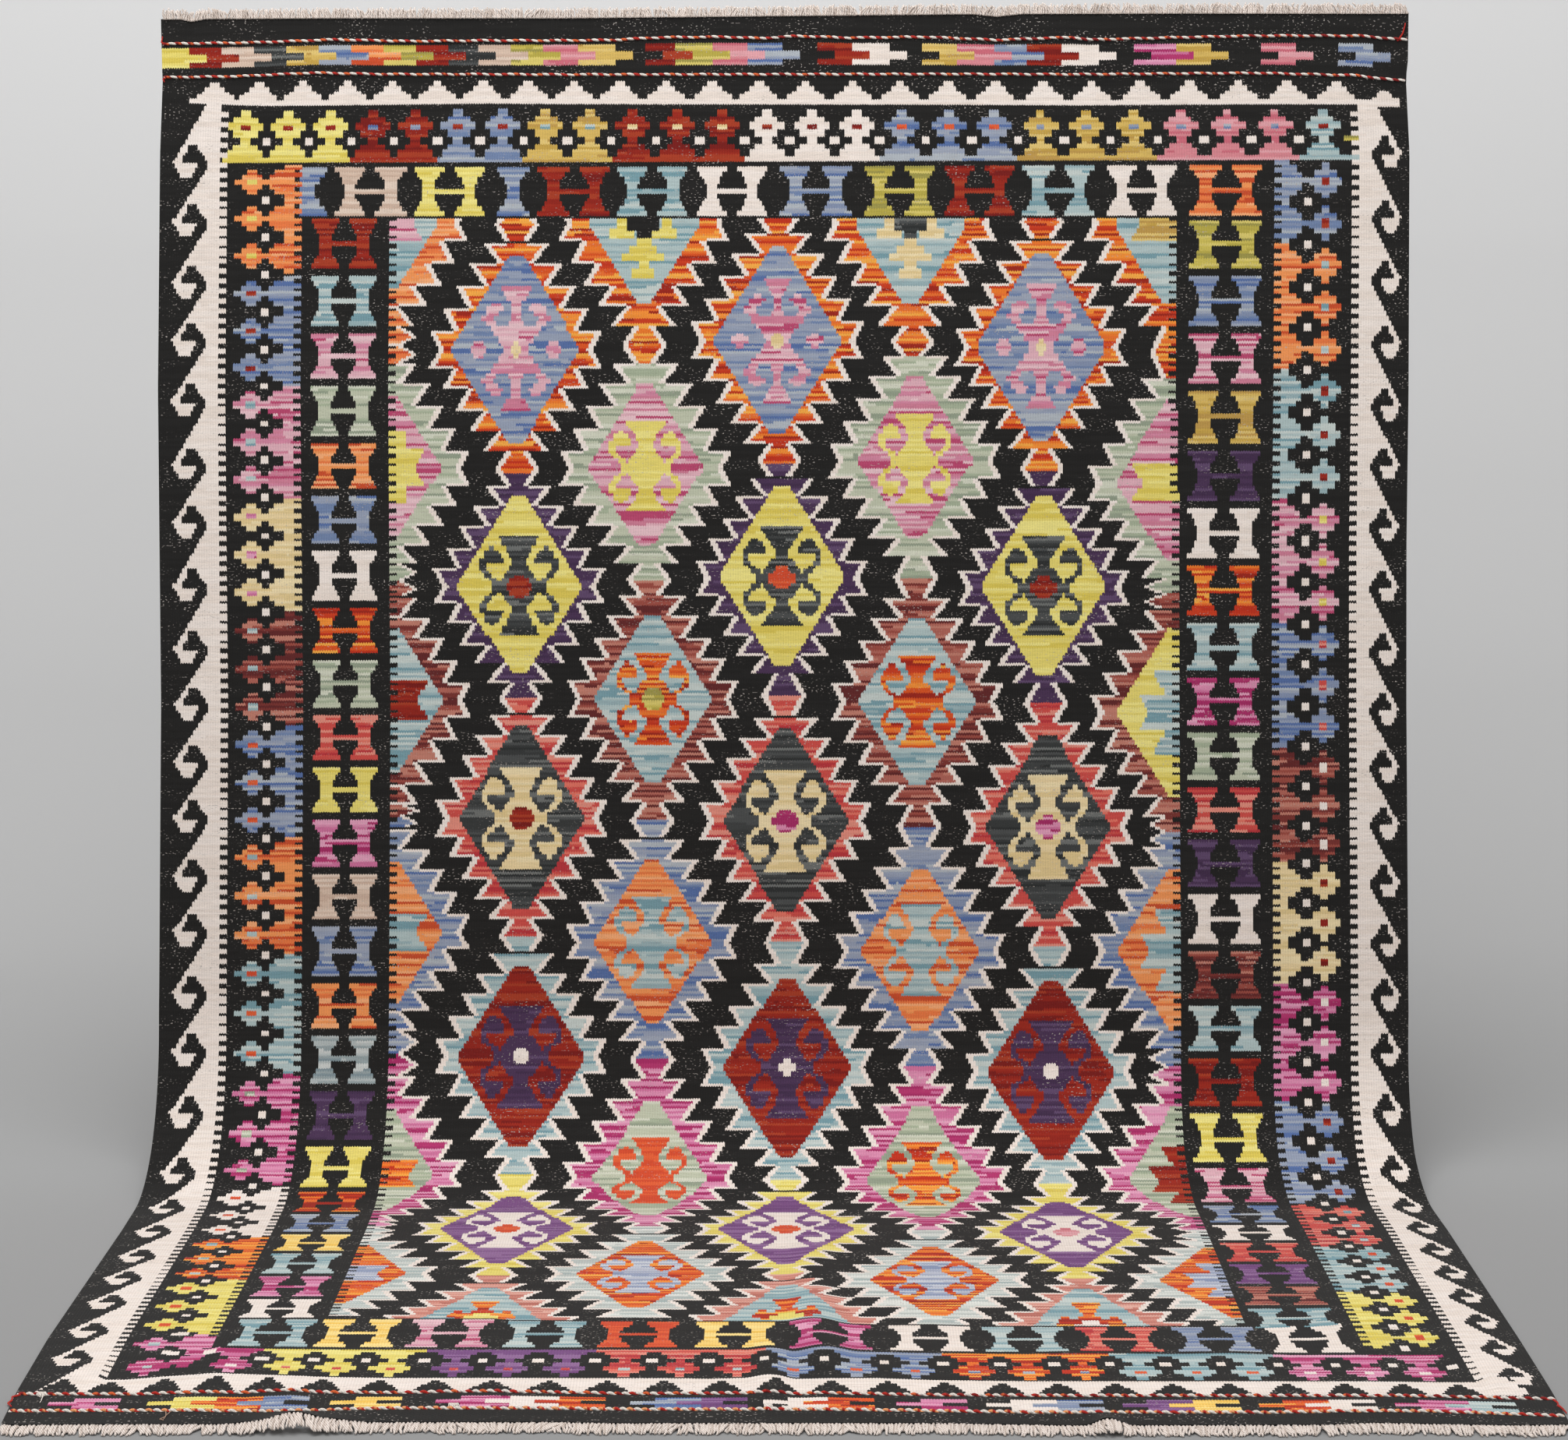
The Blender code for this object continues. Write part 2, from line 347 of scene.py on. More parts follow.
# How far some weft rows are shifted down at some columns, in rows: (row, ((column, shift), ...)).
WEFT_SHIFTS = (
    (0, ((0, -0.9), (8, -0.9), (12, 0), (18, -1), (325, -1), (335, 0), (345, -1), (500, -0.8))),
    (8.3, (
        (0, 0.9), (35, 0.6), (70, -0.5), (100, 0.2), (130, -0.1), (180, -0.1), (200, -1), (225, -1), (240, -0.3),
        (255, -1.1), (275, -0.2), (305, -0.3), (335, 1.1), (365, 0.1), (372, 1.1), (410, 0.3), (440, -0.3),
        (480, -0.3), (498, 1.2),
    )),
    (11.3, ((0, 0), (90, -1), (150, -1.3), (200, -1.3), (265, -1), (310, -0.1), (360, 0.4), (480, 0.4))),
    (22.2, ((0, 0.6), (30, 0.3), (60, -1), (90, -0.4), (130, -0.4), (370, 0.8), (440, 0.4), (480, 1.3), (495, 3.1))),
    (34.2, ((10, -0.7), (40, 0.8), (60, 0.8), (130, -0.2), (370, 1.5), (450, 1.1))),
    (56.7, ((0, 0.8), (60, 0.5), (250, 0.3), (500, -0.2))),
    (80, ((0, 0), (500, 0))),
    (585, ((0, 0), (500, 0))),
    (604, (
        (0, 0), (57, 0), (60, -3.5), (150, -3.5), (156, -2), (215, -1.2), (250, -1), (280, 2), (300, 2), (320, 3.5),
        (372, 3.8), (410, 3.5), (430, 2.5), (443, 0),
    )),
    (627, (
        (0, 0), (56, 0), (60, -2.2), (75, -1.4), (100, -0.7), (235, -0.7), (250, 0.3), (253, 1), (270, 0.8),
        (300, 2.4), (330, 3.2), (350, 2.2), (380, 3), (400, 2.3), (420, 4), (470, 4), (475, 0),
    )),
    (650, (
        (0, 0), (24, 0), (27, 2.8), (33, 2.8), (45, 0), (62, -3.2), (80, -1.5), (100, 0.5), (120, 1.3), (215, 1.5),
        (225, 2), (235, 1.3), (249, 1), (254, 2), (265, 1.5), (280, 1.2), (300, 3), (330, 4), (440, 4), (478, 5),
        (483, 0),
    )),
    (663.5, (
        (5, 0.8), (40, 0.8), (60, -1), (75, -0.5), (85, -2.3), (90, -2.7), (97, -1), (110, -0.5), (125, -0.3),
        (140, -1.3), (155, -1.7), (200, 0.5), (240, 0), (255, 0.5), (262, -0.3), (275, 0.5), (300, 1.5), (340, 2),
        (450, 2), (470, 3), (495, 4.5),
    )),
    (677.5, (
        (5, 0), (60, -0.5), (85, 0.5), (100, 0), (110, -1.5), (128, -2.3), (170, -2.2), (200, -1.2), (240, -1.2),
        (265, -1.2), (300, 0), (330, 1), (410, 1), (430, 0), (455, 0), (480, 2), (495, 3.5),
    )),
    (684, (
        (0, 2.4), (5, 3.4), (30, 2.8), (70, 2.6), (95, 2.4), (125, 1.2), (180, 1.2), (190, 1.9), (300, 1.9),
        (340, 3.6), (420, 3.2), (437, 1.6), (480, 3.6), (500, 3),
    )),
)


@dataclass(frozen=True)
class Drift:
    """How far the weft rows wander up and down across the rug."""

    lines: Sequence[tuple[float, Sequence[tuple[float, float]]]] = WEFT_SHIFTS

    def shift(self, columns: np.ndarray, rows: np.ndarray) -> np.ndarray:
        """Return how many rows further down each place of the chart lies."""
        levels = np.array([row for row, _ in self.lines], float)
        shifts = np.stack([np.interp(columns, *np.array(places, float).T) for _, places in self.lines])
        upper = np.clip(np.searchsorted(levels, rows) - 1, 0, len(levels) - 2)
        share = np.clip((rows - levels[upper]) / (levels[upper + 1] - levels[upper]), 0.0, 1.0)
        each = np.arange(len(columns))
        return shifts[upper, each] * (1 - share) + shifts[upper + 1, each] * share


def even(*bands: tuple[float, float, float]) -> list[Span]:
    """Return bands of (top, bottom, half width) as spans that are as wide to the left as to the right."""
    return [(top, bottom, -half, half) for top, bottom, half in bands]


def bowed(first: float, last: float, count: int, bow: float) -> np.ndarray:
    """Return even places from first to last, with the middle one shifted by a quarter of the bow."""
    share = np.linspace(0.0, 1.0, count)
    return first + (last - first) * share + bow * share * (1 - share)


# ---------------------------------------------------------------------------
# Bands of the pattern
# ---------------------------------------------------------------------------


@dataclass
class ArrowBand:
    """Arrows in a row, each with a notched tail that the next one's point fills."""

    top: float
    bottom: float
    arrows: Sequence[tuple[Yarn, float]]
    points_left: bool = False
    usual_length: float = 14.5
    point_length: float = 7.0
    point_share: float = 0.36
    joined_within: float = 18.0
    whole: Sequence[float] = ()

    def weave(self, chart: Chart) -> None:
        """Weave the blocks first, and then every point over its neighbour."""
        starts = [start for _, start in self.arrows]
        height = self.bottom - self.top
        point_top = self.top + height * (1 - self.point_share) / 2
        point_bottom = self.bottom - height * (1 - self.point_share) / 2
        ends = [
            following if following - start < self.joined_within else start + self.usual_length
            for start, following in zip(starts, starts[1:] + [math.inf])
        ]
        for (yarn, start), end in zip(self.arrows, ends):
            chart.fill(yarn, self.top, self.bottom, start, end)
        for start, end in zip(starts, ends):
            if self.points_left and end not in starts:
                chart.fill(Yarn.BLACK, point_top, point_bottom, end - self.point_length, end)
            if not self.points_left and start not in ends and start not in self.whole:
                chart.fill(Yarn.BLACK, point_top, point_bottom, start, start + self.point_length)
        for (yarn, start), end in zip(self.arrows, ends):
            tip = start - self.point_length if self.points_left else end
            chart.fill(yarn, point_top, point_bottom, tip, tip + self.point_length)


@dataclass
class StepBand:
    """Stepped pyramids in a row, with a line under them."""

    row: float
    columns: Sequence[float]
    left: float
    right: float
    line: float = 2.3
    height: float = 9.0
    widths: Sequence[float] = (7.5, 5.5, 3.75, 1.85)
    yarn: Yarn = Yarn.CREAM

    def weave(self, chart: Chart) -> None:
        """Weave the line and the pyramids on it."""
        chart.fill(self.yarn, self.row - self.line, self.row, self.left, self.right)
        step = (self.height - self.line) / len(self.widths)
        bands = [
            (-self.line - step * (level + 1), -self.line - step * level, half)
            for level, half in enumerate(self.widths)
        ]
        for column in self.columns:
            chart.weave(even(*bands), self.row, column, self.yarn)


@dataclass
class FlowerRow:
    """Flowers on stems that grow from one line, with a white dot between two."""

    row: float
    columns: Sequence[float]
    flowers: Sequence[tuple[Yarn, Yarn, int]]
    flip: bool = False
    tall: float = 1.0
    first_edge: float = 9.0
    last_edge: float = 9.0
    shape: Sequence[tuple[float, float, float]] = (
        (-20.4, -17.4, 1.9), (-17.4, -15.4, 4.6), (-15.4, -12.4, 7.0), (-12.4, -9.6, 4.6), (-9.6, -6.2, 1.9),
        (-6.2, -4.2, 4.6), (-4.2, -1.4, 6.8),
    )
    heart: tuple[float, float, float] = (-15.0, -13.0, 1.9)
    dot: tuple[float, float, float] = (-9.9, -7.0, 1.75)
    line: float = 1.8

    def stretched(self, bands: Sequence[tuple[float, float, float]]) -> list[Span]:
        """Return bands as spans, at this row's height."""
        return even(*((top * self.tall, bottom * self.tall, half) for top, bottom, half in bands))

    def weave(self, chart: Chart) -> None:
        """Weave the line, the flowers and the dots."""
        kinds = [(petals, heart) for petals, heart, count in self.flowers for _ in range(count)]
        columns = np.array(self.columns)
        middles = (columns[1:] + columns[:-1]) / 2
        ends = np.concatenate([[columns[0] - self.first_edge], middles, [columns[-1] + self.last_edge]])
        for column, (petals, heart), left, right in zip(columns, kinds, ends, ends[1:]):
            line = (-self.line, 0.0, left - column, right - column)
            chart.weave([*self.stretched(self.shape), line], self.row, column, petals, flip=self.flip)
            chart.weave(self.stretched([self.heart]), self.row, column, heart, flip=self.flip)
        for column in middles:
            chart.weave(self.stretched([self.dot]), self.row, column, Yarn.CREAM, flip=self.flip)


HOURGLASS = ((0.0, 0.3, 0.38), (0.3, 0.45, 0.45), (0.45, 0.6, 0.56), (0.6, 0.8, 0.75), (0.8, 1.0, 1.0))


def weave_hourglass(chart: Chart, yarn: Yarn, top: float, bottom: float, column: float, half: float) -> None:
    """Weave one stepped hourglass between two rows, with half its width at its ends given."""
    reach = (bottom - top) / 2
    for near, far, share in HOURGLASS:
        for band in ((near * reach, far * reach), (-far * reach, -near * reach)):
            chart.weave([(*band, -half * share, half * share)], (top + bottom) / 2, column, yarn)


def weave_pair(
    chart: Chart, yarn: Yarn, top: float, bottom: float, column: float, half: float, apart: float
) -> None:
    """Weave two hourglasses, their middles so far apart, with a bar between their waists."""
    for side in (-apart / 2, apart / 2):
        weave_hourglass(chart, yarn, top, bottom, column + side, half)
    chart.weave([(-1.0, 1.0, -apart / 2, apart / 2)], (top + bottom) / 2, column, yarn)


@dataclass
class HourglassRow:
    """Pairs of hourglasses side by side."""

    top: float
    bottom: float
    pairs: Sequence[tuple[Yarn, float]]
    half: float = 6.1
    apart: float = 16.3
    singles: Sequence[int] = ()

    def weave(self, chart: Chart) -> None:
        """Weave the pairs, and a single one where the list says so."""
        for number, (yarn, column) in enumerate(self.pairs):
            if number in self.singles:
                weave_hourglass(chart, yarn, self.top, self.bottom, column, self.half + 0.5)
            else:
                weave_pair(chart, yarn, self.top, self.bottom, column, self.half, self.apart)


@dataclass
class Patch:
    """A small place of its own in the pattern: blocks of one yarn.

    Attributes:
        blocks: For each block its top, bottom, left and right.
    """

    yarn: Yarn
    blocks: Sequence[Span]

    def weave(self, chart: Chart) -> None:
        """Weave the blocks."""
        chart.weave(self.blocks, 0.0, 0.0, self.yarn)


@dataclass
class HourglassColumn:
    """Pairs of hourglasses one below the other."""

    column: float
    half: float
    apart: float
    pairs: Sequence[tuple[Yarn, float]]
    end: float
    gap: float = 3.0

    def weave(self, chart: Chart) -> None:
        """Weave each pair from its first row to a gap above the next."""
        tops = [top for _, top in self.pairs] + [self.end]
        for (yarn, top), following in zip(self.pairs, tops[1:]):
            weave_pair(chart, yarn, top, following - self.gap, self.column, self.half, self.apart)


@dataclass
class FlowerColumn:
    """Flowers that grow sideways from a comb, with a white dot between two."""

    column: float
    groups: Sequence[tuple[Yarn, Yarn, float, int]]
    end: float
    top: float
    mirror: bool = False
    petals: Sequence[tuple[float, float]] = ((1.3, 6.9), (3.3, 4.4), (5.3, 1.9))
    heart: tuple[float, float] = (1.1, 1.75)
    # Where the comb's body begins beside a flower, a little further on, and beside a dot.
    body: tuple[float, float, float] = (7.5, 9.5, 12.9)
    far: float = 16.7
    shares: tuple[float, float] = (0.22, 0.36)
    stem: float = 1.1
    dot: tuple[float, float, float] = (1.4, 4.2, 7.4)
    tooth: float = 3.3
    tooth_pitch: float = 3.7

    def rows(self) -> list[tuple[Yarn, Yarn, float, float]]:
        """Return each flower's petals, heart, row and the room below it."""
        firsts = [group[2] for group in self.groups] + [self.end]
        found = []
        for (petals, heart, first, count), following in zip(self.groups, firsts[1:]):
            pitch = (following - first) / count
            found += [(petals, heart, first + pitch * number, pitch) for number in range(count)]
        return found

    def weave(self, chart: Chart) -> None:
        """Weave the comb's body with its steps and teeth, then flowers, stems and dots."""
        near, middle, whole = self.body
        for petals, heart, row, pitch in self.rows():
            reach = pitch / 2
            above = row - self.top if row - reach < self.top + 2 else reach
            bands = [
                (-above, reach, whole, self.far),
                (-pitch * self.shares[1], pitch * self.shares[1], middle, self.far),
                (-pitch * self.shares[0], pitch * self.shares[0], near, self.far),
                (-self.stem, self.stem, 0.0, near),
            ]
            chart.weave(bands, row, self.column, petals, mirror=self.mirror)
            for height, half in self.petals:
                chart.weave(even((-height, height, half)), row, self.column, petals)
            chart.weave(even((-self.heart[0], self.heart[0], self.heart[1])), row, self.column, heart)
            half_dot, left, right = self.dot
            dots = [(pitch / 2 - half_dot, pitch / 2 + half_dot, left, right)]
            chart.weave(dots, row, self.column, Yarn.CREAM, mirror=self.mirror)
        self.weave_teeth(chart)

    def weave_teeth(self, chart: Chart) -> None:
        """Weave the comb's teeth in the yarn of the body beside them."""
        side = -1 if self.mirror else 1
        edge = round(self.column + side * self.far)
        beside = edge - 1 if side > 0 else edge
        for number in range(int((self.end - self.top) / self.tooth_pitch)):
            row = int(self.top + number * self.tooth_pitch)
            tooth = sorted((edge, edge + side * round(self.tooth)))
            chart.cells[row : row + 2, tooth[0] : tooth[1]] = chart.cells[row : row + 2, beside : beside + 1]


@dataclass
class HookBorder:
    """White latch hooks down one side, with a straight comb on their inner side.

    Attributes:
        tips: Rows of the outermost points.
        top: First row.
        bottom: Where the rows end.
        end: Row at which the last body would come to a point.
        comb_end: Where the comb ends.
        edge: The rug's edge column, and the way and scale in which its columns run inwards.
    """

    tips: Sequence[float]
    top: float
    bottom: float
    end: float
    comb_end: float = 649.0
    edge: float = 0.0
    scale: float = 1.0
    tip: float = 5.2
    tongue: float = 19.0
    comb: float = 24.2
    tooth: float = 2.8
    tooth_pitch: float = 3.95
    lobe: float = 6.9
    first_above: float = 27.0
    body_rows: float = 3.3
    # The black eye over each lobe: (rows above the tip, left, right).
    eye: Sequence[tuple[float, float, float]] = (
        (6.0, 11.3, 15.0), (4.2, 11.3, 15.8), (2.8, 10.4, 16.8), (1.5, 9.2, 17.8),
    )

    def row_spans(self, row: float) -> tuple[list[tuple[float, float]], list[tuple[float, float]]]:
        """Return the white spans of a row, and the black ones woven over them."""
        tips = [self.tips[0] - self.first_above, *self.tips, self.end]
        number = min(max(i for i, tip in enumerate(tips) if tip <= row or i == 0), len(tips) - 2)
        below, pitch = row - tips[number], tips[number + 1] - tips[number]
        fallen = min(1.0, max(0.0, below - self.body_rows) / (pitch - self.body_rows))
        white = [(self.tongue - (self.tongue - self.tip - 0.8) * fallen, self.comb)]
        if 0.0 <= below < 1.2 and number > 0:
            white.append((self.tip, self.tip + 3.8))
        elif below < self.lobe and number > 0:
            lean = max(0.0, below - 2.0)
            white.append((self.tip + 0.8 + lean * 0.55, 15.0 - lean * 0.5))
        above = pitch - below
        black = [(left, right) for rise, left, right in self.eye if above <= rise][-1:]
        return white, black if number < len(tips) - 2 else []

    def across(self, left: float, right: float) -> tuple[float, float]:
        """Return a span's columns, measured inwards from the rug's edge, as chart columns."""
        ends = (self.edge + self.scale * left, self.edge + self.scale * right)
        return min(ends), max(ends)

    def weave(self, chart: Chart) -> None:
        """Weave the hooks row by row, then the comb's teeth."""
        for row in range(int(self.top), int(self.bottom)):
            white, black = self.row_spans(row + 0.5)
            for spans, yarn in ((white, Yarn.CREAM), (black, Yarn.BLACK)):
                for left, right in spans:
                    chart.fill(yarn, row + 0.5, row + 1.5, *self.across(left, right))
        for number in range(int((self.comb_end - self.top) / self.tooth_pitch)):
            row = self.top + 3 + number * self.tooth_pitch
            chart.fill(Yarn.CREAM, row, row + 2.2, *self.across(self.comb, self.comb + self.tooth))


@dataclass(frozen=True)
class MedallionYarns:
    """The yarns of one row of medallions."""

    diamond: Yarn
    motif: Yarn
    heart: Yarn
    surround: Yarn


@dataclass(frozen=True)
class Motif:
    """The figure inside a diamond.

    Attributes:
        spans: One quarter of it: (near row, far row, near column, far column).
        heart: The same for its middle, which is woven over it.
        tip: From the centre to the diamond's tip, for which the rows are given.
        wide: Half the diamond's width, for which the columns are given.
    """

    spans: Sequence[Span]
    heart: Sequence[Span] = ((0.0, 1.7, 0.0, 5.2), (1.7, 3.5, 0.0, 4.0), (3.5, 4.8, 0.0, 2.4))
    tip: float = 37.5
    wide: float = 25.0


LATCH = Motif(
    (
        (0.0, 2.5, 0.0, 10.6), (2.5, 4.0, 0.0, 7.5), (2.5, 4.0, 9.0, 12.2), (4.0, 5.5, 0.0, 6.5),
        (4.0, 5.5, 11.0, 14.0), (5.5, 7.0, 0.0, 5.5), (5.5, 7.0, 12.5, 15.2), (7.0, 8.5, 0.0, 4.5),
        (7.0, 9.8, 13.5, 16.0), (8.5, 11.7, 0.0, 3.0), (9.8, 11.7, 6.5, 16.0), (11.7, 13.5, 0.0, 4.0),
        (11.7, 13.5, 7.0, 14.5), (13.5, 15.2, 0.0, 4.7), (13.5, 15.2, 8.0, 13.8), (15.2, 16.6, 0.0, 5.5),
        (15.2, 16.6, 9.8, 12.4), (16.6, 18.0, 0.0, 6.8), (18.0, 19.3, 0.0, 7.5), (19.3, 20.8, 0.0, 8.4),
    )
)
CROSSED = Motif(
    (
        (0.0, 1.2, 0.0, 4.8), (1.2, 2.8, 0.0, 5.5), (2.8, 5.1, 0.0, 7.0), (5.1, 7.4, 0.0, 8.6),
        (7.4, 9.5, 0.0, 10.2), (9.4, 11.2, 7.8, 11.7), (11.2, 13.6, 9.0, 13.7), (13.6, 15.3, 7.0, 12.0),
        (15.3, 17.0, 4.6, 12.0), (17.0, 18.4, 6.1, 10.0), (9.5, 11.7, 0.0, 2.7), (11.7, 17.6, 0.0, 1.6),
        (17.6, 19.5, 0.0, 2.4), (19.5, 21.5, 0.0, 3.7), (21.5, 23.2, 0.0, 4.8), (23.2, 24.7, 0.0, 6.0),
        (0.0, 1.5, 11.8, 18.2), (1.5, 3.1, 13.4, 16.6),
    ),
    ((0.0, 1.7, 0.0, 2.3), (1.7, 3.2, 0.0, 1.3)),
    wide=25.5,
)
CUT = Motif(
    (
        (0.0, 2.5, 7.0, 11.0), (2.5, 6.5, 3.5, 13.5), (6.5, 9.0, 0.0, 3.0), (9.0, 12.0, 0.0, 5.5),
        (12.0, 15.5, 0.0, 8.5), (15.5, 18.0, 0.0, 2.3), (18.0, 22.0, 0.0, 4.5),
    ),
    ((0.0, 3.0, 0.0, 6.5), (3.0, 6.5, 0.0, 3.0)),
    32.0,
    22.0,
)
LOW = Motif(
    (
        (2.0, 4.0, 0.0, 9.0), (4.0, 6.5, 0.0, 12.0), (6.5, 9.0, 0.0, 11.0), (9.0, 11.5, 0.0, 4.5),
        (9.0, 11.5, 7.0, 10.0), (11.5, 14.5, 0.0, 2.4), (14.5, 17.0, 0.0, 3.4), (17.0, 19.5, 0.0, 4.4),
        (19.5, 21.8, 0.0, 5.2),
    ),
    ((2.0, 5.5, 0.0, 6.0), (5.5, 8.5, 0.0, 3.4)),
    35.0,
    22.0,
)
BESIDE = Motif(
    ((0.0, 2.0, 0.0, 13.0), (2.0, 4.0, 0.0, 14.2), (4.0, 5.5, 0.0, 15.4), (5.5, 7.4, 0.0, 16.5)), (), 33.0, 23.0
)
BESIDE_LOW = replace(BESIDE, tip=32.0)
BESIDE_FULL = Motif((*BESIDE.spans, (7.4, 15.0, 0.0, 9.6)), (), 33.0, 23.0)
BESIDE_TALL = Motif(
    (
        (0.0, 2.0, 0.0, 11.0), (2.0, 4.0, 0.0, 12.2), (4.0, 5.5, 0.0, 13.2), (5.5, 7.2, 0.0, 14.2),
        (7.2, 9.5, 0.0, 4.5), (9.5, 12.0, 0.0, 6.0), (12.0, 14.0, 0.0, 7.3), (14.0, 16.4, 0.0, 8.5),
    ),
    (),
    33.0,
    23.0,
)


@dataclass(frozen=True)
class MedallionRow:
    """One row of medallions.

    Attributes:
        row: The chart row of their centres.
        places: For each its column, and its centre's shift from that row.
        yarns: Their yarns.
        hearts: For each the yarn of its heart, where they differ.
        motifs: For each the yarn of its figure, where they differ.
        up: From a centre up to the diamond's tip.
        down: From a centre down to the diamond's tip.
        teeth_up: From a centre up to the last tooth's end.
        teeth_down: From a centre down to the last tooth's end.
        wide: Half a diamond's width.
        split: Share of the bead below that has this row's yarn.
        motif: The figure inside.
        left: Yarns of the half medallion at the left side.
        right: Yarns of the half medallion at the right side.
        left_motif: Its figure.
        right_motif: Its figure.
    """

    row: float
    places: Sequence[tuple[float, float]]
    yarns: MedallionYarns
    hearts: Sequence[Yarn] = ()
    motifs: Sequence[Yarn] = ()
    up: float = 37.5
    down: float = 37.5
    teeth_up: float = 42.0
    teeth_down: float = 42.0
    wide: float = 25.0
    split: float = 0.5
    motif: Motif = LATCH
    left: MedallionYarns = field(kw_only=True)
    right: MedallionYarns = field(kw_only=True)
    left_motif: Motif = BESIDE
    right_motif: Motif = BESIDE_TALL


def medallions(
    row: float,
    places: str,
    yarns: str,
    left: str = "",
    right: str = "",
    hearts: str = "",
    motifs: str = "",
    **shape: "float | Motif",
) -> MedallionRow:
    """Return a row of medallions from the names of its yarns.

    Args:
        row: The chart row of their centres.
        places: For each its column, and its centre's shift from that row.
        yarns: Yarns of the diamond, its motif, its heart and what surrounds it.
        left: The same for the half medallion at the left side, where they differ.
        right: The same at the right side.
        hearts: For each the yarn of its heart, where they differ.
        motifs: For each the yarn of its figure, where they differ.
        shape: The row's measures and figures.

    Returns:
        The row.
    """
    usual, at_left, at_right = (MedallionYarns(*listed(names)[0]) for names in (yarns, left or yarns, right or yarns))
    differing = {"hearts": listed(hearts)[0], "motifs": listed(motifs)[0]}
    return MedallionRow(row, listed(places), usual, left=at_left, right=at_right, **differing, **shape)


@dataclass
class MedallionField:
    """The middle of the rug: rows of serrated medallions, every other row shifted."""

    rows: Sequence[MedallionRow]
    top: int = 80
    bottom: int = 603
    left: int = 95
    # The right edge of the field: (row, column).
    right: Sequence[tuple[float, float]] = ((80, 403.5), (120, 403.5), (190, 405.5), (260, 406.5), (603, 406.5))
    teeth: Sequence[float] = (7.35, 16.2, 25.1, 33.8, 42.0)
    widest: float = 34.6
    tooth_step: float = 5.25
    tooth_lean: Sequence[float] = (3.8, 4.5, 5.0, 5.8, 6.4)
    outline: float = 2.3
    neck: float = 4.4
    bead: float = 9.0
    left_beads: tuple[float, float] = (7.5, 14.0)
    right_beads: tuple[float, float] = (5.5, 12.0)
    blunt: float = 2.2
    stair: float = 1.6
    half_bead: float = 14.0
    tooth_pitch: float = 3.65
    tooth_share: float = 0.62
    comb: int = 3

    def window(self, chart: Chart, column: float) -> tuple[np.ndarray, np.ndarray, np.ndarray]:
        """Return the field's rows, its columns' distances from one column, and its cells."""
        last = math.ceil(max(edge for _, edge in self.right))
        rows = np.arange(self.top, self.bottom)[:, None] + 0.5
        columns = np.abs(np.arange(self.left, last)[None, :] + 0.5 - column)
        return rows, columns, chart.cells[self.top : self.bottom, self.left : last]

    def contour(self, reach: np.ndarray) -> np.ndarray:
        """Return the half width of a medallion at distances from its centre row."""
        ends = np.array(self.teeth)
        starts = np.concatenate([[0.0], ends[:-1]])
        tooth = np.clip(np.searchsorted(ends, reach, side="right"), 0, len(ends) - 1)
        share = (reach - starts[tooth]) / (ends[tooth] - starts[tooth])
        body = self.widest - self.tooth_step * tooth - np.array(self.tooth_lean)[tooth] * (1 - share)
        return np.where(reach < ends[-1], body, self.neck)

    def weave_medallion(
        self, chart: Chart, band: MedallionRow, yarns: MedallionYarns, motif: Motif, row: float, column: float
    ) -> None:
        """Weave one medallion without its beads.

        Args:
            chart: The chart.
            band: The row that it belongs to.
            yarns: Its yarns.
            motif: The figure inside it.
            row: Row of its centre.
            column: Column of its centre.
        """
        rows, columns, part = self.window(chart, column)
        below, away = rows >= row, np.abs(rows - row)
        reach = away * self.teeth[-1] / np.where(below, band.teeth_down, band.teeth_up)
        edge, further = self.contour(reach), self.contour(reach + 1.0)
        outer = (reach < self.teeth[-1]) & (columns < edge)
        part[outer] = Yarn.CREAM.number
        part[outer & (columns < edge - self.outline) & (columns < further)] = yarns.surround.number
        tip = np.where(below, band.down, band.up)
        stair = np.floor(away / self.stair) * self.stair
        part[(columns < band.wide - (band.wide - self.blunt) * stair / tip) & (away < tip)] = yarns.diamond.number
        scaled, aside = away * motif.tip / tip, columns * motif.wide / band.wide
        for spans, yarn in ((motif.spans, yarns.motif), (motif.heart, yarns.heart)):
            for near, far, first, last in spans:
                part[(scaled >= near) & (scaled < far) & (aside >= first) & (aside < last)] = yarn.number

    def weave_bead(
        self, chart: Chart, column: float, top: float, bottom: float, yarns: tuple[Yarn, Yarn], split: float
    ) -> None:
        """Weave the bead between two medallions, or two small ones at a side of the field.

        Args:
            chart: The chart.
            column: Column of its middle.
            top: Its first row.
            bottom: Where its rows end.
            yarns: Its upper and its lower yarn.
            split: Share of its height that has the upper yarn.
        """
        rows, columns, part = self.window(chart, column)
        share = (rows - top) / (bottom - top)
        ends, widest, waves = self.neck, self.bead, 1
        if column < self.left:
            (ends, widest), waves = self.left_beads, 2
        elif column > self.right[0][1] + 1 and top > 200:
            (ends, widest), waves = self.right_beads, 2
        edge = ends + (widest - ends) * (1 - np.abs(share * waves % 1.0 * 2 - 1))
        outer = (share >= 0) & (share < 1) & (columns < edge)
        inner = outer & (columns < edge - self.outline)
        part[outer] = Yarn.CREAM.number
        part[inner & (share < split)] = yarns[0].number
        part[inner & (share >= split)] = yarns[1].number

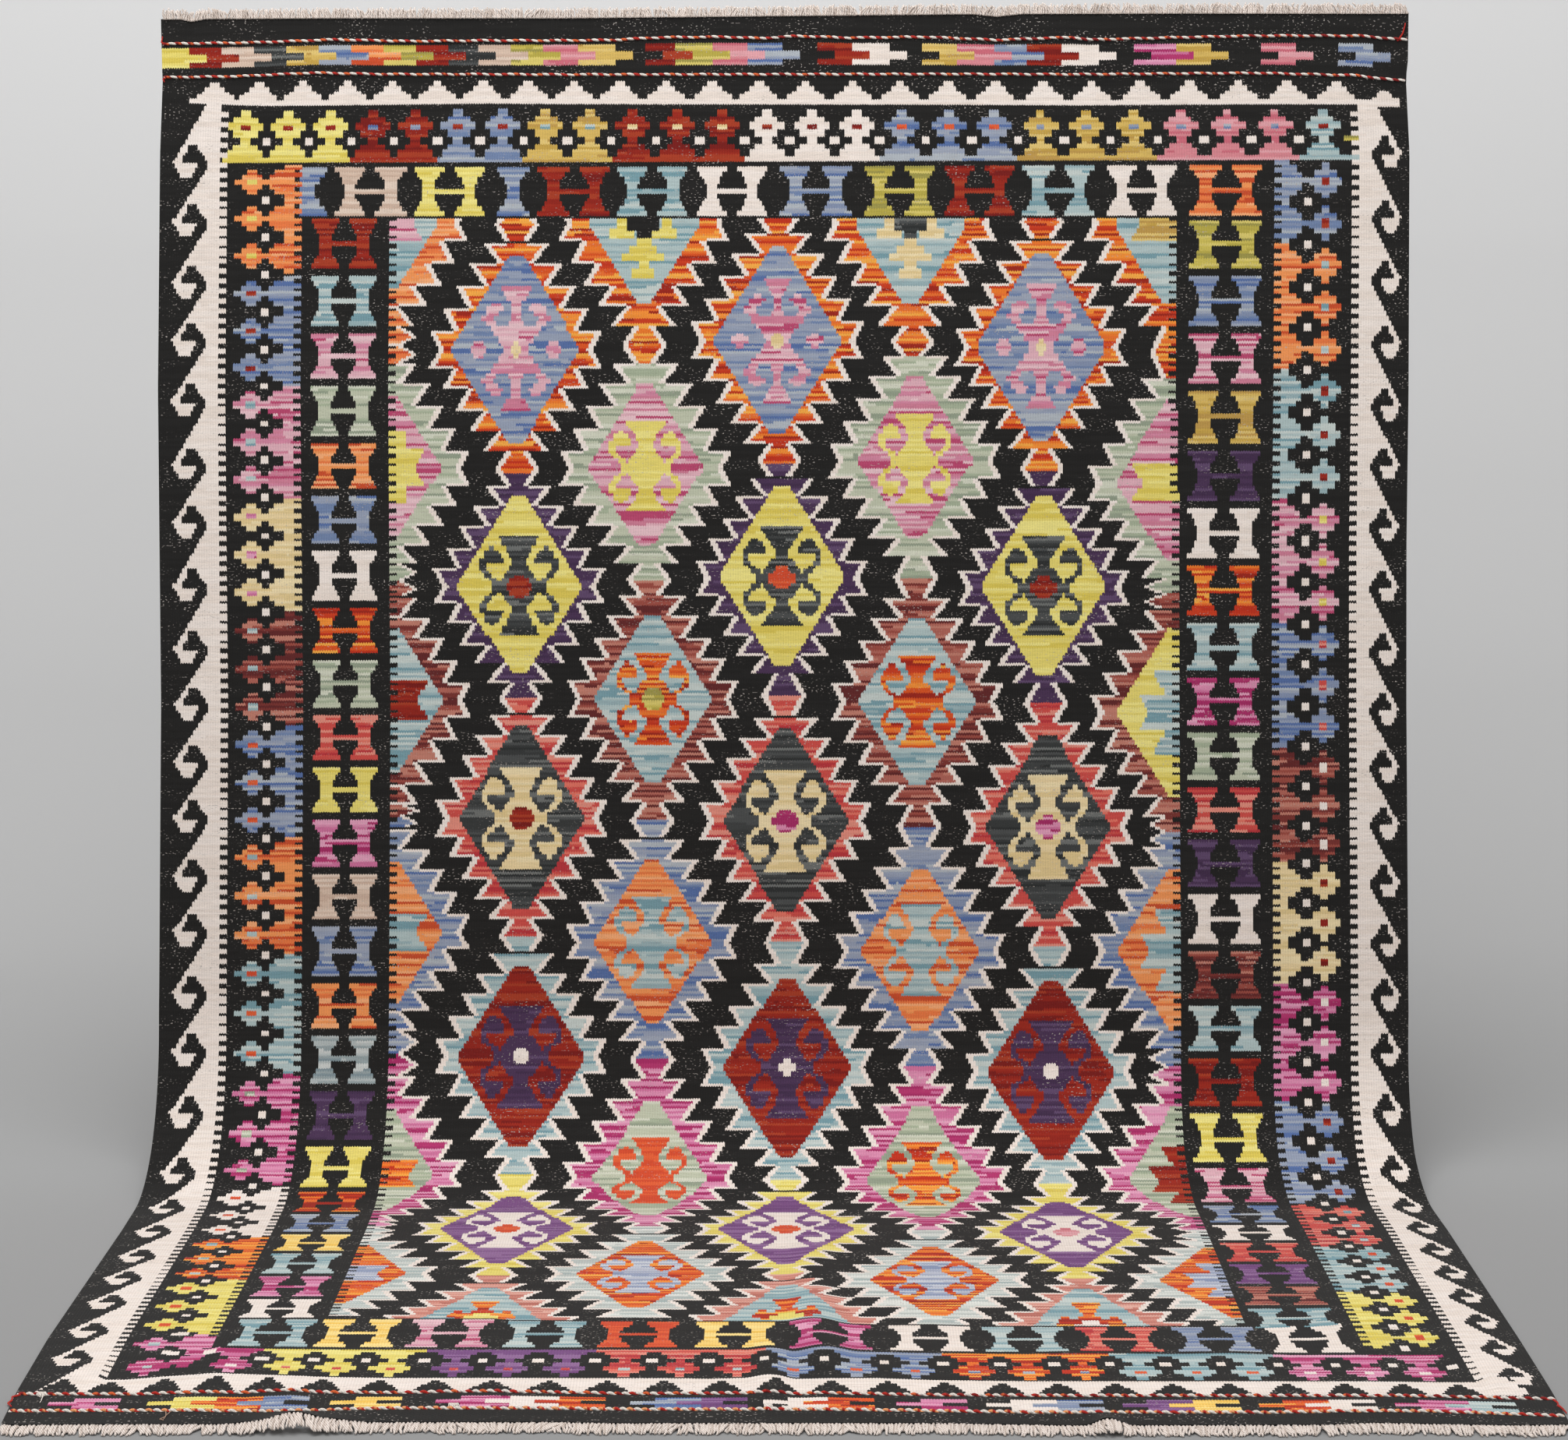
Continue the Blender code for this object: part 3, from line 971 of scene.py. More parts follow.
    def weave(self, chart: Chart) -> None:
        """Weave the rows of medallions, the beads between them, and the comb down both sides."""
        lanes: dict[int, list[tuple[float, float, MedallionRow, MedallionYarns]]] = {}
        for band in self.rows:
            for number, (column, shift) in enumerate(band.places):
                yarns, motif = band.yarns, band.motif
                if band.hearts:
                    yarns = replace(yarns, heart=band.hearts[number])
                if band.motifs:
                    yarns = replace(yarns, motif=band.motifs[number])
                if column < self.left:
                    yarns, motif = band.left, band.left_motif
                if column > self.right[0][1]:
                    yarns, motif = band.right, band.right_motif
                row = band.row + shift
                self.weave_medallion(chart, band, yarns, motif, row, column)
                lanes.setdefault(round(column / 52.5), []).append((row, column, band, yarns))
        for lane in lanes.values():
            row, column, band, yarns = lane[0]
            if row - band.teeth_up > self.top:
                end = row - band.teeth_up
                self.weave_bead(chart, column, end - self.half_bead, end, (yarns.surround, yarns.surround), 0.5)
            for (row, column, band, yarns), (low, low_column, under, other) in zip(lane, lane[1:]):
                ends = (row + band.teeth_down, low - under.teeth_up)
                middle = (column + low_column) / 2
                self.weave_bead(chart, middle, *ends, (yarns.surround, other.surround), band.split)
        self.weave_sides(chart)

    def weave_sides(self, chart: Chart) -> None:
        """Weave the straight sides of the field with their combs."""
        for row in range(self.top, self.bottom):
            right = round(float(np.interp(row, *np.array(self.right).T)))
            chart.cells[row, right : right + 5] = Yarn.BLACK.number
            if (row / self.tooth_pitch) % 1 < self.tooth_share:
                chart.cells[row, self.left - self.comb : self.left] = chart.cells[row, self.left]
                chart.cells[row, right : right + self.comb] = chart.cells[row, right - 1]


TOP_ARROWS = ArrowBand(
    11.3,
    19.1,
    listed(
        """YELLOW 0, RED 11.4, BEIGE 24.5, IRON 37.2, MUSTARD 50.3, BLUE 62.9, ORANGE 75.9, OLIVE 89, RED 102.5,
        IRON 114.7, BEIGE 127, OLIVE 139.6, ROSE 152.9, MUSTARD 167.2, RED 193.7, OLIVE 206.3, ROSE 221.4, BLUE
        234.6, RED 263.4, CREAM 277.4, MUSTARD 305.3, ROSE 318.7, BLUE 334, RED 347.4, CREAM 361.5, MAGENTA
        389.8, MUSTARD 407, ROSE 441, BLUE 471.7"""
    ),
    whole=(0,),
)
BOTTOM_ARROWS = ArrowBand(
    666.8,
    676.4,
    listed(
        """MAGENTA 20.5, YELLOW 52.5, FLAME 66.5, BLUE 81.2, GOLD 111.5, MAGENTA 145.2, CREAM 161, FLAME 176.9,
        BLUE 207.8, VIOLET 223.2, CREAM 251.3, FLAME 263.9, MAGENTA 293.6, CREAM 323.1, BLUE 338.2, VIOLET 367,
        GOLD 381.6, FLAME 411.5, CREAM 426.5, MAGENTA 455.5, SKY 470.9"""
    ),
    points_left=True,
    point_length=8.0,
    usual_length=15.0,
)
LEFT_HOOKS = HookBorder(
    (
        56, 80.4, 104.8, 128, 152.3, 177.6, 200.9, 226.5, 251.4, 273.7, 296.6, 319.4, 342.8, 365.2, 389.9, 413.3,
        438.1, 464.5, 487.5, 512.9, 538.6, 560.7, 584.2, 609.7, 634.3,
    ),
    top=34,
    bottom=662,
    end=662,
)
RIGHT_HOOKS = HookBorder(
    (
        53.5, 79, 103.2, 129, 153.8, 177.6, 202.4, 226.6, 252.2, 275.8, 298.7, 322, 345.5, 369.4, 390.9, 413.3,
        437.1, 463.2, 486, 509, 532.4, 555.5, 578.5, 601.6, 625.4, 648.6,
    ),
    top=34,
    bottom=655,
    end=675,
    comb_end=653,
    edge=501.4,
    scale=-0.84,
    comb=25.3,
    tooth=3.4,
)
TOP_STEPS = StepBand(34.2, bowed(21.1, 472.0, 25, -27.0), 11.5, 495.5)
BOTTOM_LINE = Patch(
    Yarn.CREAM, ((650.0, 662.4, 20.0, 488.0), (653.5, 662.4, 488.0, 490.4), (657.5, 661.5, 490.4, 492.2))
)
BOTTOM_STEPS = StepBand(
    662.4,
    (
        13.5, 29.3, 46.8, 63.3, 80.6, 98.9, 117.2, 135.7, 154, 173, 192.1, 210.7, 229.2, 247.6, 265.6, 284, 302.7,
        321.2, 339.8, 358.3, 377, 395.6, 414.4, 433.4, 452.2, 470.4,
    ),
    left=0.0,
    right=0.0,
    line=0.0,
    height=10.2,
    widths=(6.6, 5.6, 4.4, 2.9, 1.4),
    yarn=Yarn.BLACK,
)
TOP_FLOWERS = FlowerRow(
    56.7,
    bowed(34.1, 465.7, 25, -28.0),
    listed(
        """YELLOW RED 3, RED BLUE 2, BLUE RED 2, MUSTARD SKY 2, RED STRAW 3, CREAM RED 3, BLUE RUST 3, MUSTARD BLUE
        3, ROSE BLUE 3, SKY RED 1"""
    ),
    last_edge=14.0,
)
BOTTOM_FLOWERS = FlowerRow(
    628.0,
    (
        66, 84.5, 101.5, 119.5, 140.5, 158.5, 177.5, 197, 215.5, 234.5, 253, 274, 293.5, 313, 331, 349.5, 368,
        386.5, 405, 424, 443.5, 462,
    ),
    listed(
        """MAGENTA CREAM 1, YELLOW CORAL 3, VIOLET CORAL 3, CORAL SKY 3, BLUE RUST 3, FLAME BLUE 3, SKY RUST 3,
        MAGENTA CREAM 3"""
    ),
    flip=True,
    tall=1.05,
)
HALF_HOURGLASS = Patch(
    Yarn.BLUE,
    (
        (59.5, 61.5, 55.9, 67.2), (61.5, 63.5, 55.9, 66.0), (63.5, 66.0, 55.9, 64.4), (66.0, 72.5, 55.9, 62.2),
        (72.5, 75.0, 55.9, 64.4), (75.0, 77.0, 55.9, 66.0), (77.0, 79.0, 55.9, 67.2),
    ),
)
TOP_HOURGLASSES = HourglassRow(
    59.0,
    79.0,
    listed(
        """BEIGE 84.3, YELLOW 115.9, BLUE 141.3, RED 165.7, SKY 197.2, CREAM 229, BLUE 262.5, OLIVE 296.2, RED 328,
        SKY 359.7, CREAM 393, ORANGE 426.7"""
    ),
    singles=(2,),
)
BOTTOM_HOURGLASSES = HourglassRow(
    604.5,
    626.0,
    listed(
        """SKY 75.5, GOLD 104.5, PINK 136, SKY 168.5, RUST 200.5, GOLD 233.3, MAGENTA 266, CREAM 300, SKY 332,
        CORAL 364, BLUE 397, CREAM 428.5"""
    ),
    half=5.6,
)
LEFT_HOURGLASSES = HourglassColumn(
    column=74.0,
    half=5.4,
    apart=15.0,
    pairs=listed(
        """RED 80.4, SKY 102.9, PINK 125.7, GREEN 147.3, ORANGE 169.8, BLUE 191.4, CREAM 213.1, FLAME 235.6, GREEN
        257, CORAL 278.7, YELLOW 299.8, MAGENTA 321.1, BEIGE 342.9, BLUE 364.5, ORANGE 386.8, SLATE 407.8,
        PURPLE 429.6, YELLOW 453, FLAME 476.3, BLUE 495.4, GOLD 517.4, SKY 537.2, MAGENTA 560.5, CREAM 582.5"""
    ),
    end=605.5,
)
RIGHT_HOURGLASSES = HourglassColumn(
    column=426.7,
    half=6.2,
    apart=17.0,
    pairs=listed(
        """OLIVE 80.6, BLUE 103.4, PINK 126.5, MUSTARD 149, PURPLE 172.7, CREAM 195.8, FLAME 219.4, SKY 242.4,
        MAGENTA 263.8, GREEN 285.6, CORAL 307.9, PURPLE 329.4, CREAM 350.7, MAROON 374.2, SKY 396.1, RED 416.7,
        YELLOW 438.6, PINK 463.5, BLUE 486.3, CREAM 506.9, CORAL 526.4, VIOLET 547.6, MAROON 569.7, SKY 590.2"""
    ),
    end=608.5,
)
LEFT_FLOWERS = FlowerColumn(
    column=37.0,
    groups=listed(
        """ORANGE YELLOW 65 3, BLUE RED 110 3, PINK SKY 154.5 3, STRAW MAGENTA 199.3 3, MAROON SKY 245 3, BLUE RUST
        290.8 3, ORANGE SKY 336 3, SKY RUST 383 3, MAGENTA GREEN 431 3, CREAM RUST 480.4 3, FLAME SKY 527.6 3,
        YELLOW RUST 571.5 3, MAGENTA SKY 622.5 1"""
    ),
    end=636.0,
    top=58.0,
)
RIGHT_FLOWERS = FlowerColumn(
    column=466.5,
    groups=listed(
        """BLUE RED 65.4 2, ORANGE SKY 98.8 3, SKY RED 149 3, PINK YELLOW 200.7 3, BLUE CORAL 250.5 3, MAROON CREAM
        300 3, STRAW RED 346.5 3, MAGENTA CREAM 394.8 3, BLUE RED 442.4 3, CORAL SKY 492.7 3, SKY RUST 537.2 3,
        YELLOW RUST 583.2 3"""
    ),
    end=631.0,
    top=57.0,
    mirror=True,
    petals=((1.5, 6.1), (4.4, 4.6), (7.0, 1.8)),
    heart=(1.6, 1.7),
    body=(9.5, 11.6, 14.6),
    far=17.8,
    dot=(1.6, 5.4, 8.6),
)
# Small places where the borders meet, and a few dots of their own.
CORNERS = (
    Patch(Yarn.MAGENTA, ((614, 632, 49.0, 53.7), (616.5, 624, 46.0, 57.5), (627.5, 630, 53.7, 60.0))),
    Patch(Yarn.MAGENTA, ((634, 648, 36.6, 40.4), (636.5, 645.5, 34, 43), (638.5, 643.2, 31.6, 46))),
    Patch(Yarn.MAGENTA, ((630.5, 634, 51, 56), (633.5, 637, 48, 55), (636.5, 640.5, 45.5, 53), (640.5, 643.5, 48, 52))),
    Patch(Yarn.SKY, ((639.6, 642.2, 36.6, 40.2),)),
    Patch(
        Yarn.CREAM,
        ((612, 615.4, 43.4, 46.8), (629, 632.4, 43.2, 46.6), (628.5, 632, 55.2, 59.0), (635, 638.4, 74.4, 77.8)),
    ),
    Patch(Yarn.OLIVE, ((47.0, 49.2, 474.0, 480.0),)),
    Patch(Yarn.CREAM, ((637.0, 640.0, 469.6, 473.6),)),
    Patch(
        Yarn.CREAM,
        (
            (33.0, 35.4, 485.0, 497.0), (30.8, 33.0, 485.6, 496.6), (29.2, 30.8, 487.8, 494.4),
            (27.6, 29.2, 489.4, 492.9),
        ),
    ),
)
FIELD = MedallionField(
    (
        medallions(
            82.0, "89.2 0, 193.8 0, 300.5 0, 404.5 0", "SKY STRAW IRON FLAME", "SKY PINK PINK ORANGE",
            "SKY MUSTARD MUSTARD FLAME", "PINK BLACK IRON GOLD", "PINK YELLOW STRAW GOLD", up=200.0, down=32.0,
            teeth_down=41.5, wide=22.0, split=1.0, motif=CUT, left_motif=BESIDE_LOW, right_motif=BESIDE_LOW,
        ),
        medallions(
            132.5, "142.9 0, 247.5 -3.5, 353 -1", "BLUE PINK STRAW FLAME",
            up=38.0, teeth_up=43.0, teeth_down=41.0, wide=25.5, split=0.6, motif=CROSSED,
        ),
        medallions(
            180.0, "90 0, 194.9 0, 302.8 -3, 406.5 6", "PINK YELLOW YELLOW GREEN",
            up=34.0, down=31.0, teeth_down=38.5, wide=22.7, left_motif=BESIDE_FULL, right_motif=BESIDE,
        ),
        medallions(
            227.5, "144 0, 249.5 -3.5, 354.5 0.5", "YELLOW IRON RED PURPLE", hearts="RED RUST RED",
            up=37.0, down=35.0, teeth_up=40.5, teeth_down=38.5,
        ),
        medallions(
            272.5, "90 0.5, 197.5 0, 303.7 1, 407.5 5.5", "SKY FLAME OLIVE MAROON", "SKY RED RED MAROON",
            "YELLOW SKY SKY MAROON", "FLAME OLIVE FLAME FLAME", up=34.0, down=34.0, teeth_up=41.5, wide=23.2,
        ),
        medallions(
            320.5, "144.8 0, 250.7 1, 356 3.5", "IRON STRAW RED CORAL", hearts="RED MAGENTA MAGENTA",
            down=37.0, teeth_down=40.5,
        ),
        medallions(
            370.5, "90 -4, 197.3 0, 304.8 3.5, 407.5 3.5", "ORANGE SKY SKY BLUE",
            up=33.5, down=32.5, teeth_down=39.5, wide=23.4,
        ),
        medallions(
            416.0, "145 0, 251.5 4.5, 357 6", "RED PURPLE CREAM SKY",
            up=36.0, teeth_up=41.5, wide=25.5, motif=replace(LATCH, heart=((0.0, 1.6, 0.0, 3.0), (1.6, 3.4, 0.0, 1.8))),
        ),
        medallions(
            468.0, "90 -1, 197.8 0, 305 2, 408 2", "GREEN FLAME FLAME MAGENTA", right="GREEN RED RED MAGENTA",
            hearts="FLAME RUST FLAME RED", motifs="FLAME RUST FLAME RED",
            up=34.5, down=28.5, teeth_up=43.0, teeth_down=36.0, wide=22.5, split=0.35,
        ),
        medallions(
            510.5, "145 0, 250.5 0.5, 356 4", "VIOLET CREAM RUST YELLOW", hearts="RUST RUST ROSE",
            up=32.0, down=37.0, teeth_up=35.5, teeth_down=41.0, wide=25.5,
        ),
        medallions(
            557.5, "90 -0.5, 198 0, 303.8 6, 408 6.5", "FLAME TEAL TEAL MIST",
            up=33.5, down=33.0, teeth_up=41.0, teeth_down=43.0, wide=22.8,
        ),
        medallions(
            604.0, "145 1.5, 251 -0.5, 356 3", "SKY FLAME YELLOW SALMON", hearts="YELLOW YELLOW CREAM",
            up=35.0, teeth_up=39.0, wide=22.0, motif=LOW,
        ),
    )
)
# In the order in which they are woven: a later band covers an earlier one.
RUG_BANDS = (
    TOP_ARROWS, BOTTOM_ARROWS, LEFT_HOOKS, RIGHT_HOOKS, TOP_STEPS, BOTTOM_LINE, BOTTOM_STEPS, TOP_FLOWERS,
    HALF_HOURGLASS, TOP_HOURGLASSES, BOTTOM_HOURGLASSES, LEFT_HOURGLASSES, RIGHT_HOURGLASSES, LEFT_FLOWERS,
    RIGHT_FLOWERS, BOTTOM_FLOWERS, *CORNERS, FIELD,
)


# ---------------------------------------------------------------------------
# Shader nodes
# ---------------------------------------------------------------------------


class Value:
    """A number that comes out of a node, with Python's operators as Math nodes."""

    def __init__(self, tree: "NodeTree", socket: bpy.types.NodeSocket) -> None:
        """Wrap a socket of a tree."""
        self.tree = tree
        self.socket = socket

    def math(self, operation: str, *others: "Value | float") -> "Value":
        """Add a Math node of this value and others."""
        inputs = {number: value for number, value in enumerate((self, *others))}
        return self.tree.node("ShaderNodeMath", {"operation": operation}, inputs)

    def __add__(self, other: "Value | float") -> "Value":
        """Add."""
        return self.math("ADD", other)

    def __sub__(self, other: "Value | float") -> "Value":
        """Subtract."""
        return self.math("SUBTRACT", other)

    def __mul__(self, other: "Value | float") -> "Value":
        """Multiply."""
        return self.math("MULTIPLY", other)

    def __truediv__(self, other: "Value | float") -> "Value":
        """Divide."""
        return self.math("DIVIDE", other)

    def __gt__(self, other: "Value | float") -> "Value":
        """Return 1 where this is greater, else 0."""
        return self.math("GREATER_THAN", other)

    __radd__ = __add__

    def ramp(self, low: float, high: float) -> "Value":
        """Return 0 up to low, 1 from high on, and a smooth rise between."""
        settings = {"interpolation_type": "SMOOTHSTEP"}
        return self.tree.node("ShaderNodeMapRange", settings, {"Value": self, "From Min": low, "From Max": high})

    def wave(self, length: float) -> "Value":
        """Return a triangle wave of this many metres, 0 to 1 and back."""
        return self.math("PINGPONG", length / 2) / (length / 2)


class NodeTree:
    """The nodes of one material."""

    def __init__(self, name: str) -> None:
        """Start a material with a Principled shader."""
        self.material = bpy.data.materials.new(name)
        self.material.use_nodes = True
        self.tree = self.material.node_tree
        self.shader = self.tree.nodes["Principled BSDF"]

    def node(
        self, kind: str, settings: dict | None = None, inputs: dict | None = None, output: int | str = 0
    ) -> Value:
        """Add a node.

        Args:
            kind: Its type.
            settings: Its properties, set before its sockets are filled.
            inputs: For each socket a value, or the Value that is linked to it.
            output: The socket that comes out.

        Returns:
            That socket as a Value.
        """
        made = self.tree.nodes.new(kind)
        for name, setting in (settings or {}).items():
            setattr(made, name, setting)
        for name, value in (inputs or {}).items():
            self.feed(made.inputs[name], value)
        return Value(self, made.outputs[output])

    def feed(self, socket: bpy.types.NodeSocket, value: "Value | float | Sequence[float]") -> None:
        """Link a value to a socket, or set it."""
        if isinstance(value, Value):
            self.tree.links.new(value.socket, socket)
        else:
            socket.default_value = value

    def attribute(self, name: str, output: str = "Fac") -> Value:
        """Read an attribute of the mesh."""
        settings = {"attribute_type": "GEOMETRY", "attribute_name": name}
        return self.node("ShaderNodeAttribute", settings, output=output)

    def mix(self, factor: "Value | float", first: object, second: object, blend: str = "MIX") -> Value:
        """Mix two colours."""
        settings = {"data_type": "RGBA", "blend_type": blend}
        return self.node("ShaderNodeMix", settings, {0: factor, 6: first, 7: second}, output=2)

    def vector(self, x: "Value | float", y: "Value | float", z: "Value | float" = 0.0) -> Value:
        """Put three numbers together."""
        return self.node("ShaderNodeCombineXYZ", None, {0: x, 1: y, 2: z})

    def split(self, vector: Value) -> list[Value]:
        """Take a vector's three numbers apart."""
        parts = self.node("ShaderNodeSeparateXYZ", None, {0: vector}).socket.node.outputs
        return [Value(self, part) for part in parts]

    def shaded(self, colour: Value, shade: Value) -> Value:
        """Multiply a colour by a shade."""
        return self.mix(1.0, colour, self.vector(shade, shade, shade), "MULTIPLY")

    def noise(self, place: Value, scale: float = 1.0, detail: float = 2.0, rough: float = 0.5) -> Value:
        """Add a noise texture."""
        inputs = {"Vector": place, "Scale": scale, "Detail": detail, "Roughness": rough}
        return self.node("ShaderNodeTexNoise", None, inputs)

    def bump(self, height: Value, distance: float, strength: float) -> None:
        """Feed a height to the shader's normal."""
        inputs = {"Height": height, "Distance": distance, "Strength": strength}
        self.feed(self.shader.inputs["Normal"], self.node("ShaderNodeBump", None, inputs))

    def finish(self, colour: Value, roughness: "Value | float", **constants: float) -> bpy.types.Material:
        """Feed the shader.

        Args:
            colour: Base colour.
            roughness: Roughness.
            constants: Other inputs, with _ for a space.

        Returns:
            The material.
        """
        self.feed(self.shader.inputs["Base Color"], colour)
        self.feed(self.shader.inputs["Roughness"], roughness)
        for name, value in constants.items():
            self.shader.inputs[name.replace("_", " ").title().replace("Ior", "IOR")].default_value = value
        return self.material


# ---------------------------------------------------------------------------
# Finishes
# ---------------------------------------------------------------------------


# Constants of the shader that every wool has.
SOFT_FIBRE = {"sheen_roughness": 0.5, "specular_ior_level": 0.2}


@dataclass(frozen=True)
class WovenWool:
    """Weft-faced wool with a serrated colour change, fine heather, pale flecks and painted shade of its ribs and weave.
    """

    rows_a_face: int = 4
    tooth: float = 0.55
    pick: float = 0.0033
    fleck: Colour = (0.42, 0.38, 0.35, 1.0)
    fleck_share: float = 0.8
    shade: float = 0.86
    relief: float = 0.0009
    rough: float = 0.95
    sheen: float = 0.07

    def material(self) -> bpy.types.Material:
        """Return the material; it reads the cloth's own attributes."""
        tree = NodeTree("kilim_wool")
        across, along, _ = tree.split(tree.attribute("cloth", "Vector"))
        rib = across.wave(CELL)
        wander = tree.noise(tree.vector(across * 60, along * 60), detail=1.0)
        weft = tree.attribute("weft") + rib * self.tooth + (wander - 0.5) * 0.5
        colour = tree.attribute("row_0", "Color")
        for row in range(1, self.rows_a_face + 1):
            colour = tree.mix(weft > float(row), colour, tree.attribute(f"row_{row}", "Color"))
        speck = tree.noise(tree.vector(across * 210, along * 330), detail=0.0).ramp(0.69, 0.74)
        runs = tree.noise(tree.vector(across * 9, along * 34 + 3), detail=2.0).ramp(0.44, 0.68)
        dyed = tree.mix(speck * runs * self.fleck_share, colour, self.fleck)
        heather = tree.noise(tree.vector(across * 330, along * 420 + 5), detail=2.0)
        streak = tree.noise(tree.vector(across * 30 + 9, along * 300), detail=2.0)
        checked = (across.wave(CELL * 2) - 0.5) * (along.wave(self.pick) - 0.5)
        # Painted shade: rib and checked darken the colour across each warp rib and weave crossing; heather and streak
        # are the dye's own uneven tone.
        shade = self.shade + rib * 0.12 + checked * 0.3 + (heather - 0.5) * 0.3 + (streak - 0.5) * 0.35
        tree.bump(rib * 0.6 + checked * 1.2 + heather * 0.4, self.relief, 0.4)
        rough = self.rough + (heather - 0.5) * 0.1
        return tree.finish(tree.shaded(dyed, shade), rough, sheen_weight=self.sheen, **SOFT_FIBRE)


@dataclass(frozen=True)
class TwistedYarn:
    """Plain wool yarn, in colours that follow each other across the rug, with painted shade in the grooves between its
    strands.

    Attributes:
        name: The material's name.
        colours: Its colours.
        run: How far one colour runs, in metres.
        lay: The length of one turn of its strands.
        groove_shade: How dark the painted shade in the grooves between the strands is.
    """

    name: str
    colours: Sequence[Colour]
    run: float = 0.024
    lay: float = 0.005
    groove_shade: float = 0.75

    def material(self) -> bpy.types.Material:
        """Return the material; it reads the piece's own coordinates."""
        tree = NodeTree(self.name)
        across, back, up = tree.split(tree.node("ShaderNodeTexCoord", output="Object"))
        pick = tree.noise(tree.vector(across / self.run, 0.0), detail=0.0)
        colour = self.colours[0]
        for number, following in enumerate(self.colours[1:], start=1):
            past = 0.36 + 0.28 * number / len(self.colours)
            colour = tree.mix(pick.ramp(past, past + 0.03), colour, following)
        strand = (across + (back + up) * 0.6).wave(self.lay)
        fibre = tree.noise(tree.vector(across * 1500, back * 500, up * 500), detail=2.0)
        # Painted shade: the colour darkens in the grooves between the strands.
        shade = self.groove_shade + strand.ramp(0.0, 0.7) * (1.0 - self.groove_shade) + (fibre - 0.5) * 0.3
        tree.bump(fibre * 0.4 + strand, 0.0004, 0.4)
        return tree.finish(tree.shaded(colour, shade), 0.95, sheen_weight=0.1, **SOFT_FIBRE)


# ---------------------------------------------------------------------------
# Mesh helpers
# ---------------------------------------------------------------------------


def deselect() -> None:
    """Deselect everything, so that an operator acts on new pieces alone."""
    for chosen in bpy.context.selected_objects:
        chosen.select_set(False)


def choose(obj: bpy.types.Object) -> None:
    """Select one piece alone and make it the active one."""
    deselect()
    obj.select_set(True)
    bpy.context.view_layer.objects.active = obj


def read_vectors(data: bpy.types.bpy_prop_collection, name: str) -> np.ndarray:
    """Return a vector of every point or face as one row each."""
    flat = np.empty(len(data) * 3)
    data.foreach_get(name, flat)
    return flat.reshape(-1, 3)


def read_numbers(data: bpy.types.bpy_prop_collection, name: str) -> np.ndarray:
    """Return a whole number of every face or corner."""
    flat = np.empty(len(data), int)
    data.foreach_get(name, flat)
    return flat


def points_of(mesh: bpy.types.Mesh) -> np.ndarray:
    """Return a mesh's points as an array."""
    return read_vectors(mesh.vertices, "co")


def move_points(mesh: bpy.types.Mesh, points: np.ndarray) -> None:
    """Put a mesh's points somewhere else."""
    mesh.vertices.foreach_set("co", np.ascontiguousarray(points, np.float32).ravel())
    mesh.update()


def add_attribute(mesh: bpy.types.Mesh, name: str, kind: str, domain: str, values: np.ndarray) -> None:
    """Give a mesh an attribute.

    Args:
        mesh: The mesh.
        name: The attribute's name.
        kind: FLOAT, FLOAT_VECTOR or FLOAT_COLOR.
        domain: POINT, CORNER or FACE.
        values: One row for each point, corner or face.
    """
    part = {"FLOAT": "value", "FLOAT_VECTOR": "vector", "FLOAT_COLOR": "color"}[kind]
    made = mesh.attributes.new(name, kind, domain)
    made.data.foreach_set(part, np.ascontiguousarray(values, np.float32).ravel())


def dress(obj: bpy.types.Object, material: bpy.types.Material, node: str) -> None:
    """Give a piece its finish, attach it to the body and hide the node that it stands for."""
    obj.data.materials.clear()
    obj.data.materials.append(material)
    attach(obj, BODY)
    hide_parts(node)
    LOG.info("%s: %d faces", obj.name, len(obj.data.polygons))


# ---------------------------------------------------------------------------
# The woven cloth
# ---------------------------------------------------------------------------


